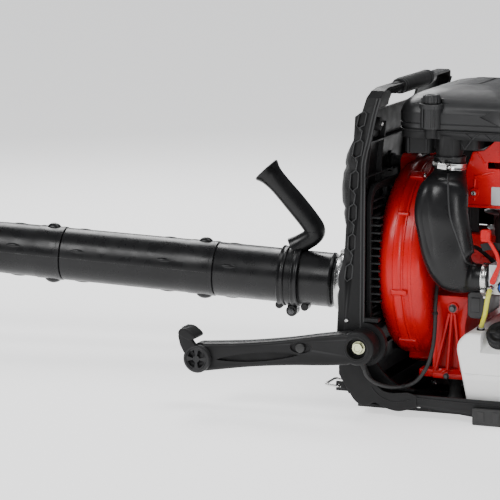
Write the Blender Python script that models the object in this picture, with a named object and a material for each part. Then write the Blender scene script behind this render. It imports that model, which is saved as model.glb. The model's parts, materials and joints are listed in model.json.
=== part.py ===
"""Backpack leaf blower: an assembly of separate named pieces.

Metres, +Z up. The operator wears the machine on the -X side and looks along -X.
-Y is the operator's left (throttle arm), +Y the right (blower tube), +X the rear.
The origin is on the surface that the machine stands on, midway across its flat skid and
25 mm in front of the skid's middle.
"""
import math

import bmesh
import bpy
from mathutils import Matrix, Quaternion, Vector

# ---------------------------------------------------------------- driving dimensions
GAP = 0.0003                      # air between pieces that touch
HALF_WIDTH = 0.175                # half the width of the frame and base
RIM_TOP = 0.037                   # top of the base's rim
BASE_BOTTOM = 0.010               # underside of the base's rim
TRAY_FLOOR = 0.016                # top of the base's floor
BASE_FRONT = -0.128               # foremost face of the base
BASE_REAR = 0.205                 # rearmost face of the base
WALL = 0.004                      # wall of the frame and base mouldings

SHAFT_Z = 0.217                   # height of the crankshaft, which runs along X at Y=0
VOLUTE_RADIUS = 0.152
VOLUTE_FRONT = -0.110
VOLUTE_SPLIT = -0.064
VOLUTE_REAR = -0.028
OUTLET_Z = 0.119                  # height of the air outlet's centre
OUTLET_HALF = 0.039               # half the side of the square outlet duct
OUTLET_END_Y = 0.165

CYLINDER_X = 0.065                # the cylinder stands over the crank here
CRANKCASE_REAR = 0.110
CRANKCASE_TOP = 0.262

TUBE_START = Vector((-0.3045, 0.232, 0.1245))   # where the swivel pipe leaves the hose
TUBE_YAW = math.radians(8.0)      # the tube points inwards by this angle
TUBE_TILT = math.radians(3.25)    # and upwards by this angle
TUBE_RADIUS = 0.0448
HOSE_START = Vector((-0.1305, 0.243, 0.1190))
HOSE_SPIGOT = 0.0388              # outer radius of the ends that the hose is pushed over
HOSE_YAW_X = -0.190               # the hose bends sideways about an upright axis here
HOSE_PITCH_X = -0.250             # and up and down about a level axis here

ARM_PIVOT = Vector((-0.1116, -0.205, 0.1075))
ARM_END = Vector((-0.3640, -0.205, 0.0750))
ARM_NEAR_Y = -0.2130
ARM_FAR_Y = -0.1768

CLEANER_SPLIT = 0.430             # joint between air-cleaner case and cover
KNOB_X = -0.0255
KNOB_Y = 0.130

DUCT_Y = -0.158                   # middle of the intake duct between its ends
DUCT_TOP = Vector((-0.0020, -0.1130, 0.3760))     # middle of the clamp at the duct's top
CARB_BORE = Vector((0.090, -0.140, 0.2140))     # where the carburettor's two ports meet
CHOKE_AXIS = Vector((0.0815, 0.0, 0.2140))      # choke shaft, along Y
PRIMER_SEAT = Vector((0.0990, -0.1588, 0.2050))
THROTTLE_AXIS = Vector((0.090, -0.1235, 0.0))   # throttle shaft, along Z

STARTER_X = 0.126                 # middle of the recoil rope's groove
ROPE_Z = SHAFT_Z - 0.0305          # the rope runs under the pulley

TANK_LOW = TRAY_FLOOR + GAP
CAP_SEAT = Vector((0.092, -0.142, 0.122))
CAP_DIRECTION = Vector((0.0, -1.0, 1.0)).normalized()

# colour, roughness, metallic
BLACK_PLASTIC = ((0.022, 0.022, 0.024), 0.45, 0.0)
GREY_PLASTIC = ((0.060, 0.061, 0.064), 0.50, 0.0)
RED_PAINT = ((0.560, 0.010, 0.014), 0.32, 0.0)
RUBBER = ((0.014, 0.014, 0.014), 0.80, 0.0)
FOAM = ((0.040, 0.040, 0.042), 0.85, 0.0)
STEEL = ((0.560, 0.560, 0.550), 0.30, 1.0)
ALLOY = ((0.480, 0.480, 0.490), 0.45, 1.0)
ZINC = ((0.700, 0.700, 0.450), 0.35, 1.0)
TANK_PLASTIC = ((0.820, 0.820, 0.810), 0.35, 0.0)
FUEL_HOSE = ((0.600, 0.580, 0.060), 0.40, 0.0)
BLUE_RUBBER = ((0.020, 0.080, 0.380), 0.35, 0.0)
PAPER = ((0.620, 0.520, 0.320), 0.90, 0.0)


# ---------------------------------------------------------------- helpers
def clear_scene():
    for obj in list(bpy.data.objects):
        bpy.data.objects.remove(obj, do_unlink=True)


def make_object(name, bm, finish, smooth_angle=35.0):
    """Turn a bmesh into an object with its own material, smooth but for sharp edges."""
    bmesh.ops.recalc_face_normals(bm, faces=bm.faces[:])
    mesh = bpy.data.meshes.new(name)
    bm.to_mesh(mesh)
    bm.free()
    mesh.shade_smooth()
    mesh.set_sharp_from_angle(angle=math.radians(smooth_angle))
    obj = bpy.data.objects.new(name, mesh)
    bpy.context.scene.collection.objects.link(obj)
    if finish is not None:
        colour, roughness, metallic = finish
        mat = bpy.data.materials.new(name)
        mat.use_nodes = True
        shader = mat.node_tree.nodes["Principled BSDF"]
        shader.inputs["Base Color"].default_value = (*colour, 1.0)
        shader.inputs["Roughness"].default_value = roughness
        shader.inputs["Metallic"].default_value = metallic
        mesh.materials.append(mat)
    return obj


def loft(name, loops, finish, ring=False, smooth_angle=35.0):
    """Skin a list of equal loops of points. A ring joins the last loop to the first."""
    bm = bmesh.new()
    rows = [[bm.verts.new(point) for point in loop] for loop in loops]
    pairs = list(zip(rows, rows[1:]))
    if ring:
        pairs.append((rows[-1], rows[0]))
    for low, high in pairs:
        for i in range(len(low)):
            j = (i + 1) % len(low)
            bm.faces.new((low[i], low[j], high[j], high[i]))
    if not ring:
        bm.faces.new(rows[0])
        bm.faces.new(rows[-1])
    return make_object(name, bm, finish, smooth_angle)


def across(direction, hint=Vector((0.0, 0.0, 1.0))):
    """Two unit vectors square to a direction, the second as near to the hint as it can be."""
    direction = direction.normalized()
    side = hint.cross(direction)
    if side.length < 1e-6:
        side = Vector((1.0, 0.0, 0.0)).cross(direction)
    side.normalize()
    return side, direction.cross(side)


def circle(centre, direction, radius, sides, hint=Vector((0.0, 0.0, 1.0)), squash=1.0):
    side, up = across(direction, hint)
    turn = 2.0 * math.pi / sides
    return [centre + side * (radius * squash * math.cos(turn * i)) + up * (radius * math.sin(turn * i))
            for i in range(sides)]


def turned(name, start, direction, profile, finish, sides=32, ring=False):
    """Revolve (distance along the axis, radius) pairs about an axis."""
    direction = direction.normalized()
    loops = [circle(start + direction * along, direction, radius, sides) for along, radius in profile]
    return loft(name, loops, finish, ring)


def rod(name, start, end, radius, finish=None, sides=20, end_radius=None):
    last = radius if end_radius is None else end_radius
    return turned(name, start, end - start, [(0.0, radius), ((end - start).length, last)], finish, sides)


def sleeve(name, start, end, outer, inner, finish, sides=32):
    length = (end - start).length
    profile = [(0.0, outer), (length, outer), (length, inner), (0.0, inner)]
    return turned(name, start, end - start, profile, finish, sides, ring=True)


def headings(path, ends=None):
    """Direction of a path at each of its points. The two end directions can be given."""
    found = []
    for i in range(len(path)):
        before = path[max(i - 1, 0)]
        after = path[min(i + 1, len(path) - 1)]
        found.append(after - before)
    if ends:
        found[0], found[-1] = ends
    return found


def swept(name, path, radii, finish, sides=20, inner=None, squash=1.0, hint=Vector((0.0, 0.0, 1.0)),
          ends=None):
    """A tube along a path; one inner radius makes it hollow and open at both ends."""
    ways = headings(path, ends)
    loops = [circle(point, way, radius, sides, hint, squash) for point, way, radius in zip(path, ways, radii)]
    if inner is None:
        return loft(name, loops, finish)
    loops += [circle(point, way, inner, sides, hint, squash) for point, way in zip(path[::-1], ways[::-1])]
    return loft(name, loops, finish, ring=True)


def prism(name, outline, axis, low, high, finish=None, smooth_angle=35.0):
    """Extrude a flat outline along world axis 0, 1 or 2. The outline omits that axis."""
    def lift(pair, level):
        values = list(pair)
        values.insert(axis, level)
        return Vector(values)
    loops = [[lift(pair, level) for pair in outline] for level in (low, high)]
    return loft(name, loops, finish, smooth_angle=smooth_angle)


def box(name, low, high, finish=None):
    outline = [(low[0], low[1]), (high[0], low[1]), (high[0], high[1]), (low[0], high[1])]
    return prism(name, outline, 2, low[2], high[2], finish)


def rounded(low, high, radius, steps=3):
    """Outline of a rectangle with round corners, from its lowest and highest corners."""
    corners = [(high[0] - radius, high[1] - radius, 0.0), (low[0] + radius, high[1] - radius, 90.0),
               (low[0] + radius, low[1] + radius, 180.0), (high[0] - radius, low[1] + radius, 270.0)]
    points = []
    for x, y, start in corners:
        for i in range(steps + 1):
            angle = math.radians(start + 90.0 * i / steps)
            points.append((x + radius * math.cos(angle), y + radius * math.sin(angle)))
    return points


def use_tool(target, tool, operation):
    """Let a helper solid cut or join a piece. The helper itself isn't a piece."""
    tool.hide_render = True
    tool.display_type = "WIRE"
    boolean = target.modifiers.new(tool.name, "BOOLEAN")
    boolean.operation = operation
    boolean.object = tool
    boolean.solver = "EXACT"


def cut(target, tool):
    use_tool(target, tool, "DIFFERENCE")


def join(target, tool):
    use_tool(target, tool, "UNION")


def pivot(obj, point):
    """Move an object's origin to its joint's axis and leave its shape where it is."""
    obj.data.transform(Matrix.Translation(-point))
    obj.location = point


def hermite(start, start_pull, end, end_pull, steps):
    """Points on a smooth curve between two ends with given pulls."""
    points = []
    for i in range(steps + 1):
        t = i / steps
        a = 2 * t**3 - 3 * t**2 + 1
        b = t**3 - 2 * t**2 + t
        c = -2 * t**3 + 3 * t**2
        d = t**3 - t**2
        points.append(start * a + start_pull * b + end * c + end_pull * d)
    return points


def smooth_route(points, steps):
    """A smooth curve through hand-picked points, with some steps between each pair."""
    route = []
    for i in range(len(points) - 1):
        before = points[max(i - 1, 0)]
        after = points[min(i + 2, len(points) - 1)]
        pull_in = (points[i + 1] - before) * 0.5
        pull_out = (after - points[i]) * 0.5
        route += hermite(points[i], pull_in, points[i + 1], pull_out, steps)[:-1]
    return route + [points[-1]]


def tube_direction():
    flat = math.cos(TUBE_TILT)
    return Vector((-math.cos(TUBE_YAW) * flat, -math.sin(TUBE_YAW) * flat, math.sin(TUBE_TILT)))


def on_tube(distance):
    return TUBE_START + tube_direction() * distance


# ---------------------------------------------------------------- frame and base
def frame_rows():
    """Height, half width, front X and rear X of the back frame, from the base to the top."""
    return [(0.0300, 0.171, -0.138, -0.108), (0.0520, 0.175, -0.1455, -0.113),
            (0.1200, 0.175, -0.156, -0.115), (0.2000, 0.175, -0.152, -0.115),
            (0.2500, 0.175, -0.144, -0.115), (0.3300, 0.175, -0.140, -0.115),
            (0.3800, 0.175, -0.136, -0.114), (0.4150, 0.175, -0.131, -0.106),
            (0.4480, 0.175, -0.129, -0.099), (0.4560, 0.175, -0.118, -0.097),
            (0.4760, 0.172, -0.1125, -0.091), (0.4860, 0.163, -0.108, -0.088),
            (0.4900, 0.148, -0.105, -0.0865)]


def frame_front(height):
    """X of the frame's front face at a height."""
    rows = frame_rows()
    for (z0, _, x0, _), (z1, _, x1, _) in zip(rows, rows[1:]):
        if z0 <= height <= z1:
            return x0 + (x1 - x0) * (height - z0) / (z1 - z0)
    return rows[-1][2]


def frame_tray():
    """The moulded tray: a front plate with a flange round it that faces the engine."""
    rows = frame_rows()
    lowest = rows[0][0] + WALL
    highest = rows[-1][0] - WALL
    bm = bmesh.new()
    grid = []
    for z, width, front, rear in rows:
        inner_z = min(max(z, lowest), highest)
        inner_width = width - WALL
        plate = front + WALL
        grid.append([bm.verts.new(point) for point in (
            (front, -width, z), (rear, -width, z), (rear, -inner_width, inner_z),
            (plate, -inner_width, inner_z), (plate, inner_width, inner_z),
            (rear, inner_width, inner_z), (rear, width, z), (front, width, z))])
    for low, high in zip(grid, grid[1:]):
        for i in range(8):
            j = (i + 1) % 8
            bm.faces.new((low[i], low[j], high[j], high[i]))
    for row in (grid[0], grid[-1]):
        bm.faces.new((row[0], row[1], row[6], row[7]))
        bm.faces.new((row[1], row[2], row[5], row[6]))
        bm.faces.new((row[2], row[3], row[4], row[5]))
    return bm


def corner_web_outline(top):
    """Web between frame and base, hollow-curved behind, from its foot up to a height."""
    foot = 0.0376
    points = [(-0.1400, foot), (-0.0400, foot)]
    for i in range(9):
        angle = math.radians(90.0 * i / 8)
        points.append((-0.0400 - 0.0720 * math.sin(angle), top - (top - foot - 0.003) * math.cos(angle)))
    return points + [(-0.1400, top)]


def build_back_frame():
    frame = make_object("back_frame", frame_tray(), BLACK_PLASTIC)
    fingers = prism("finger_opening", rounded((-0.068, 0.450), (0.068, 0.474), 0.010, 2), 0, -0.14, -0.07)
    cut(frame, fingers)
    bar = rod("handle_bar", Vector((-0.0965, -0.092, 0.4835)), Vector((-0.0965, 0.092, 0.4835)), 0.0085,
              sides=14)
    join(frame, bar)
    boss = turned("arm_boss", Vector((ARM_PIVOT.x, -0.1755, ARM_PIVOT.z)), Vector((0.0, 1.0, 0.0)),
                  [(0.0, 0.0330), (0.0095, 0.0330)], None, sides=24)
    join(frame, boss)
    for side, top in ((-1, 0.124), (1, 0.074)):
        levels = sorted((side * 0.1510, side * 0.1560))
        join(frame, prism(f"corner_web_{side}", corner_web_outline(top), 1, *levels))
    bolt_hole = rod("arm_bolt_hole", ARM_PIVOT, ARM_PIVOT + Vector((0.0, 0.045, 0.0)), 0.0053)
    cut(frame, bolt_hole)
    mount_pad = rod("upper_mount_pad", Vector((-0.136, 0.0, 0.361)), Vector((-0.1290, 0.0, 0.361)), 0.016)
    join(frame, mount_pad)
    for side in (-1, 1):
        ear_y = side * 0.146
        for i, shift in enumerate((-0.0175, 0.0175)):
            low = (-0.160, ear_y + shift - 0.002, 0.032)
            high = (-0.1370, ear_y + shift + 0.002, 0.046)
            join(frame, box(f"strap_ear_{side}_{i}", low, high))
        wire_hole = rod(f"strap_hole_{side}", Vector((-0.155, ear_y - 0.025, 0.039)),
                        Vector((-0.155, ear_y + 0.025, 0.039)), 0.0028, sides=12)
        cut(frame, wire_hole)
    return frame


def build_intake_guard():
    """Upright panel of level slats, between the frame and the fan housing's inlet."""
    guard = prism("intake_guard", rounded((-0.150, 0.118), (0.150, 0.343), 0.03), 0, -0.1185, -0.1115,
                  BLACK_PLASTIC)
    slots = 8
    pitch = 0.0235
    for i in range(slots):
        z = 0.230 + pitch * (i - (slots - 1) / 2)
        cut(guard, box(f"guard_slot_{i}", (-0.125, -0.120, z - 0.0075), (-0.100, 0.120, z + 0.0075)))
    return guard


def build_base_frame():
    base = prism("base_frame", rounded((BASE_FRONT, -HALF_WIDTH), (BASE_REAR, HALF_WIDTH), 0.020), 2,
                 BASE_BOTTOM, RIM_TOP, BLACK_PLASTIC)
    hollow = prism("base_hollow", rounded((-0.103, -HALF_WIDTH + WALL), (BASE_REAR - WALL, HALF_WIDTH - WALL),
                                          0.016), 2, TRAY_FLOOR, RIM_TOP + 0.01)
    cut(base, hollow)
    notch = box("frame_notch", (-0.16, -0.2, frame_rows()[0][0] - GAP), (-0.1065, 0.2, 0.05))
    cut(base, notch)
    skid = prism("skid", rounded((-0.120, -0.090), (0.170, 0.090), 0.02), 2, 0.0, BASE_BOTTOM + 0.002)
    join(base, skid)
    return base


def build_rear_foot(name, side):
    """Rubber bumper with an L section, under and outside the base's side."""
    inside = side * 0.140
    wall = side * (HALF_WIDTH + GAP)
    outside = side * (HALF_WIDTH + 0.007)
    outline = [(inside, 0.0), (outside, 0.0), (outside, 0.026), (wall, 0.026), (wall, BASE_BOTTOM - GAP),
               (inside, BASE_BOTTOM - GAP)]
    return prism(name, outline, 0, 0.058, 0.176, RUBBER)


def build_handle_grip():
    start = Vector((-0.0965, -0.064, 0.4835))
    end = Vector((-0.0965, 0.064, 0.4835))
    grip = sleeve("handle_grip", start, end, 0.0135, 0.0090, RUBBER, 20)
    cut(grip, box("grip_clearance", (-0.1175, -0.07, 0.465), (-0.0800, 0.07, 0.4906)))
    return grip


def build_pad(name, low_z, high_z, half_width, depth):
    """Back pad with a rounded face, moulded to the frame's lean."""
    steps = 6
    heights = {low_z + (high_z - low_z) * i / steps for i in range(steps + 1)}
    heights |= {row[0] for row in frame_rows() if low_z < row[0] < high_z}
    loops = []
    for z in sorted(heights):
        t = (z - low_z) / (high_z - low_z)
        back = frame_front(z) - 0.0005
        swell = math.sin(math.pi * (0.12 + 0.76 * t)) ** 0.6
        face = back - depth * swell
        shoulder = back - depth * swell * 0.6
        loops.append([Vector((back, -half_width, z)), Vector((shoulder, -half_width, z)),
                      Vector((face, -half_width + 0.018, z)), Vector((face, half_width - 0.018, z)),
                      Vector((shoulder, half_width, z)), Vector((back, half_width, z))])
    return loft(name, loops, FOAM)


def build_strap_loop(name, side):
    """Bent wire loop that the shoulder strap hooks on, hinged in the frame's ears."""
    y = side * 0.146
    half = 0.0225
    corners = [Vector((-0.155, y - 0.004, 0.039)), Vector((-0.155, y - half, 0.039)),
               Vector((-0.176, y - half, 0.041)), Vector((-0.176, y + half, 0.041)),
               Vector((-0.155, y + half, 0.039)), Vector((-0.155, y + 0.004, 0.039))]
    path = []
    for i, corner in enumerate(corners):
        if i in (0, len(corners) - 1):
            path.append(corner)
            continue
        back = (corners[i - 1] - corner).normalized() * 0.004
        ahead = (corners[i + 1] - corner).normalized() * 0.004
        path += [corner + back, corner + (back + ahead) * 0.3, corner + ahead]
    loop = swept(name, path, [0.002] * len(path), STEEL, sides=8, hint=Vector((0.0, 0.13, 1.0)))
    pivot(loop, Vector((-0.155, y, 0.039)))
    return loop


# ---------------------------------------------------------------- fan
def build_volute_half(name, profile, duct_low, duct_high):
    """One shell of the fan housing: a turned bowl with half of the square outlet."""
    centre = Vector((0.0, 0.0, SHAFT_Z))
    shell = turned(name, centre, Vector((1.0, 0.0, 0.0)), profile, RED_PAINT, sides=28, ring=True)
    low_z = OUTLET_Z - OUTLET_HALF
    high_z = OUTLET_Z + OUTLET_HALF
    wall = 0.003
    join(shell, box(f"{name}_duct", (duct_low, 0.085, low_z), (duct_high, OUTLET_END_Y, high_z)))
    if name == "volute_front":
        join(shell, box("upper_lug", (VOLUTE_FRONT, -0.022, 0.345), (VOLUTE_FRONT + 0.024, 0.022, 0.376)))
    cut(shell, box(f"{name}_passage", (VOLUTE_FRONT + 2 * wall, 0.045, low_z + wall),
                   (VOLUTE_REAR - 2 * wall, OUTLET_END_Y + 0.01, high_z - wall)))
    cut(shell, turned(f"{name}_bowl", centre, Vector((1.0, 0.0, 0.0)), bowl_profile(), None, sides=28))
    return shell


def bowl_profile():
    """Inside of the whole fan housing, as distances along the shaft and radii."""
    r = VOLUTE_RADIUS - 0.0002
    front = VOLUTE_FRONT + 0.0032
    rear = VOLUTE_REAR - 0.0032
    return [(front, r - 0.038), (front + 0.003, r - 0.019), (front + 0.010, r - 0.0075),
            (front + 0.022, r - 0.003), (rear - 0.018, r - 0.003), (rear - 0.0055, r - 0.0085),
            (rear, r - 0.023)]


def build_volute():
    r = VOLUTE_RADIUS
    split = VOLUTE_SPLIT - GAP / 2
    front_profile = [(split, r), (-0.086, r), (-0.099, r - 0.005), (-0.107, r - 0.017),
                     (VOLUTE_FRONT, r - 0.037), (VOLUTE_FRONT, 0.076), (VOLUTE_FRONT + 0.003, 0.076),
                     (VOLUTE_FRONT + 0.003, r - 0.038), (-0.104, r - 0.019), (-0.097, r - 0.0075),
                     (-0.085, r - 0.003), (split, r - 0.003)]
    front = build_volute_half("volute_front", front_profile, VOLUTE_FRONT + 0.003, split)
    split = VOLUTE_SPLIT + GAP / 2
    rear_profile = [(split, r), (-0.048, r), (-0.034, r - 0.006), (VOLUTE_REAR, r - 0.022),
                    (VOLUTE_REAR, 0.020), (VOLUTE_REAR - 0.003, 0.020), (VOLUTE_REAR - 0.003, r - 0.023),
                    (-0.0365, r - 0.0085), (-0.049, r - 0.003), (split, r - 0.003)]
    rear = build_volute_half("volute_rear", rear_profile, split, VOLUTE_REAR - 0.003)
    return front, rear


def build_impeller():
    """Fan wheel: a hub and back disc with curved blades that stand forward of it."""
    centre = Vector((0.0, 0.0, SHAFT_Z))
    axis = Vector((1.0, 0.0, 0.0))
    profile = [(-0.094, 0.0085), (-0.094, 0.020), (-0.050, 0.034), (-0.046, 0.132), (-0.042, 0.132),
               (-0.042, 0.0085)]
    wheel = turned("impeller", centre, axis, profile, ALLOY, sides=24, ring=True)
    blades = 9
    for i in range(blades):
        start = 2.0 * math.pi * i / blades
        inside = []
        outside = []
        for step in range(3):
            radius = 0.060 + 0.070 * step / 2
            angle = start - 0.55 * step / 2
            half = 0.0012 / radius
            inside.append((radius * math.cos(angle - half), SHAFT_Z + radius * math.sin(angle - half)))
            outside.append((radius * math.cos(angle + half), SHAFT_Z + radius * math.sin(angle + half)))
        join(wheel, prism(f"blade_{i}", inside + outside[::-1], 0, -0.094, -0.0445))
    pivot(wheel, centre)
    return wheel


def build_elbow():
    """Outlet elbow, from the housing's square flange round to the flexible hose."""
    flange_y = OUTLET_END_Y + GAP
    centre_x = (VOLUTE_FRONT + VOLUTE_REAR) / 2
    start = Vector((centre_x, flange_y + 0.004, OUTLET_Z))
    corner = Vector((-0.112, HOSE_START.y, HOSE_START.z))
    path = hermite(start, Vector((0.0, 0.110, 0.0)), corner, Vector((-0.110, 0.0, 0.0)), 6)
    path.append(HOSE_START + Vector((-0.014, 0.0, 0.0)))
    ends = (Vector((0.0, 1.0, 0.0)), Vector((-1.0, 0.0, 0.0)))
    elbow = swept("elbow", path, [HOSE_SPIGOT] * len(path), BLACK_PLASTIC, sides=16, inner=0.0360, ends=ends)
    flange = box("elbow_flange", (centre_x - 0.043, flange_y, OUTLET_Z - 0.043),
                 (centre_x + 0.043, flange_y + 0.006, OUTLET_Z + 0.043))
    join(elbow, flange)
    cut(elbow, rod("elbow_mouth", Vector((centre_x, flange_y - 0.01, OUTLET_Z)),
                   Vector((centre_x, flange_y + 0.0075, OUTLET_Z)), 0.0360, sides=16))
    return elbow


def hose_path(steps):
    end = on_tube(-0.006)
    return hermite(HOSE_START, Vector((-0.170, 0.0, 0.0)), end, tube_direction() * 0.170, steps)


def build_hose_bellows():
    """Flexible hose with a plain cuff at each end and round folds between them."""
    folds = 7
    cuff = 3
    steps = 2 * folds + 2 * cuff
    path = hose_path(steps)
    ways = headings(path, (Vector((-1.0, 0.0, 0.0)), tube_direction()))
    sides = 16
    loops = []
    for i in range(steps + 1):
        folded = 0.0490 if (i - cuff) % 2 else 0.0435
        radius = folded if cuff <= i <= steps - cuff else 0.0450
        loops.append(circle(path[i], ways[i], radius, sides))
    for i in range(steps, -1, -4):
        loops.append(circle(path[i], ways[i], HOSE_SPIGOT + 0.0018, sides))
    hose = loft("hose_bellows", loops, RUBBER, ring=True)
    pivot(hose, Vector((HOSE_YAW_X, HOSE_START.y, HOSE_START.z)))
    return hose


def build_hose_clamp(name, centre, direction):
    half = direction.normalized() * 0.0055
    clamp = sleeve(name, centre - half, centre + half, 0.0478, 0.0459, STEEL, 20)
    top = centre + Vector((0.0, 0.0, 0.0492))
    lug = box(f"{name}_lug", (top.x - 0.006, top.y - 0.010, top.z - 0.003),
              (top.x + 0.006, top.y + 0.010, top.z + 0.006))
    join(clamp, lug)
    return clamp


# ---------------------------------------------------------------- tube
def build_pipe(name, start, profile, inner):
    """A pipe on the tube's axis, from outer (distance, radius) pairs and inner ones."""
    pipe = turned(name, on_tube(0.0), tube_direction(), profile + inner[::-1], BLACK_PLASTIC, sides=20,
                  ring=True)
    pivot(pipe, on_tube(start))
    return pipe


def build_tube():
    """Three pipes. Each one's rear socket slips over the front of the one behind it."""
    r = TUBE_RADIUS
    wall = 0.0022
    neck = r - 0.0036
    swivel = [(-0.030, HOSE_SPIGOT), (-0.001, HOSE_SPIGOT), (0.001, r), (0.197, r), (0.199, neck),
              (0.229, neck)]
    build_pipe("swivel_pipe", 0.0, swivel, [(-0.030, HOSE_SPIGOT - wall), (0.229, neck - wall)])
    bore = neck + GAP
    straight = [(0.1996, r + 0.0008), (0.231, r + 0.0008), (0.233, r), (0.462, r - 0.0008),
                (0.464, neck - 0.001), (0.494, neck - 0.001)]
    build_pipe("straight_pipe", 0.1996, straight,
               [(0.1996, bore), (0.2296, bore), (0.231, neck - wall), (0.494, neck - 0.001 - wall)])
    bore = neck - 0.001 + GAP
    nozzle = [(0.4646, r), (0.496, r), (0.498, r - 0.001), (0.620, 0.0425), (0.760, 0.0375), (0.905, 0.0345),
              (0.912, 0.0352), (0.918, 0.0352)]
    build_pipe("nozzle_pipe", 0.4646, nozzle,
               [(0.4646, bore), (0.4946, bore), (0.496, neck - 0.001 - wall), (0.620, 0.0400),
                (0.760, 0.0350), (0.905, 0.0322), (0.918, 0.0322)])


def build_tube_grip():
    """Two-ridged clamp on the pipe with a bent, flared hand grip that stands on it."""
    axis = tube_direction()
    inner = TUBE_RADIUS + GAP
    outer = inner + 0.0049
    profile = [(-0.017, outer), (-0.006, outer), (-0.004, outer - 0.0015), (0.004, outer - 0.0015),
               (0.006, outer), (0.017, outer), (0.017, inner), (-0.017, inner)]
    grip = turned("tube_grip", on_tube(0.073), axis, profile, BLACK_PLASTIC, sides=20, ring=True)
    side, up = across(axis)
    back = -axis
    foot = on_tube(0.073) + up * (TUBE_RADIUS + 0.0027)
    path = [foot, foot + up * 0.010 + back * 0.014, foot + up * 0.022 + back * 0.030,
            foot + up * 0.033 + back * 0.0340, foot + up * 0.048 + back * 0.0240,
            foot + up * 0.076 - back * 0.0020, foot + up * 0.103 - back * 0.0290,
            foot + up * 0.117 - back * 0.0440, foot + up * 0.1245 - back * 0.0520]
    radii = [0.018, 0.0150, 0.0150, 0.0168, 0.0170, 0.0172, 0.0170, 0.0190, 0.0235]
    handle = swept("hand_grip", path, radii, None, sides=12, squash=0.84, hint=back)
    join(grip, handle)
    low = on_tube(0.073) - up * (TUBE_RADIUS + 0.0117) + back * 0.005
    lug = rod("clamp_lug", low - side * 0.0125, low + side * 0.0125, 0.0095, sides=12)
    join(grip, lug)
    neck = prism("clamp_neck", rounded((-0.0085, -0.0085), (0.0085, 0.0085), 0.002, 1), 2, 0.0, 0.0120)
    neck.matrix_world = Matrix.Translation(low) @ Matrix((side, back, up)).transposed().to_4x4()
    join(grip, neck)
    cut(grip, rod("clamp_bolt_hole", low - side * 0.03, low + side * 0.03, 0.0033, sides=12))
    cut(grip, sleeve_bore(axis, inner))
    pivot(grip, on_tube(0.073))
    bolt = turned("grip_bolt", low - side * 0.0190, side,
                  [(0.0, 0.0055), (0.0055, 0.0062), (0.0062, 0.0030), (0.033, 0.0030)], STEEL, sides=12)
    pivot(bolt, on_tube(0.073))


def sleeve_bore(axis, radius):
    centre = on_tube(0.073)
    return rod("grip_bore", centre - axis * 0.03, centre + axis * 0.03, radius, sides=20)


# ---------------------------------------------------------------- engine
def build_crankcase():
    case = box("crankcase", (VOLUTE_REAR + GAP, -0.047, 0.170), (CRANKCASE_REAR, 0.047, CRANKCASE_TOP),
               RED_PAINT)
    plinth = prism("engine_plinth", [(VOLUTE_REAR + GAP, 0.050), (0.022, 0.050), (0.022, 0.130),
                                     (0.030, 0.176), (VOLUTE_REAR + GAP, 0.176)], 1, -0.104, 0.104)
    join(case, plinth)
    cut(case, box("plinth_room", (VOLUTE_REAR + 0.005, -0.078, 0.040), (0.018, 0.078, 0.160)))
    axis = Vector((1.0, 0.0, 0.0))
    crank_room = rod("crank_room", Vector((0.040, 0.0, SHAFT_Z)), Vector((0.090, 0.0, SHAFT_Z)), 0.0345)
    cut(case, crank_room)
    cut(case, rod("cylinder_mouth", Vector((CYLINDER_X, 0.0, SHAFT_Z)),
                  Vector((CYLINDER_X, 0.0, CRANKCASE_TOP + 0.01)), 0.0240, sides=24))
    cut(case, turned("shaft_hole", Vector((-0.03, 0.0, SHAFT_Z)), axis, [(0.0, 0.0085), (0.20, 0.0085)],
                     None, sides=16))
    return case


def build_crankshaft():
    """Main shaft with two round webs. The core between them stands in for the crank pin."""
    middle = CYLINDER_X
    profile = [(-0.0975, 0.0060), (-0.0930, 0.0060), (-0.0925, 0.0080), (middle - 0.020, 0.0080),
               (middle - 0.020, 0.0300), (middle - 0.009, 0.0300), (middle - 0.009, 0.0045),
               (middle + 0.009, 0.0045), (middle + 0.009, 0.0300), (middle + 0.020, 0.0300),
               (middle + 0.020, 0.0080), (0.1120, 0.0080)]
    centre = Vector((0.0, 0.0, SHAFT_Z))
    shaft = turned("crankshaft", centre, Vector((1.0, 0.0, 0.0)), profile, STEEL, sides=16)
    pivot(shaft, centre)
    return shaft


def build_cylinder():
    """Finned barrel with a bore for the piston, an intake port and an exhaust port."""
    foot = Vector((CYLINDER_X, 0.0, CRANKCASE_TOP + GAP))
    profile = [(0.0, 0.0225), (0.0, 0.040), (0.006, 0.040), (0.006, 0.031)]
    fins = 5
    for i in range(fins):
        z = 0.032 + 0.0150 * i
        profile += [(z, 0.031), (z, 0.0448), (z + 0.003, 0.0448), (z + 0.003, 0.031)]
    profile += [(0.110, 0.028), (0.110, 0.0046), (0.103, 0.0046), (0.098, 0.0258), (0.001, 0.0258)]
    barrel = turned("cylinder", foot, Vector((0.0, 0.0, 1.0)), profile, ALLOY, sides=16, ring=True)
    centre = Vector((CYLINDER_X, 0.0, 0.2795))
    cut(barrel, rod("intake_port", centre, centre - Vector((0.0, 0.05, 0.0)), 0.008, sides=12))
    cut(barrel, rod("exhaust_port", centre, centre + Vector((0.0, 0.05, 0.0)), 0.008, sides=12))
    return barrel


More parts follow.
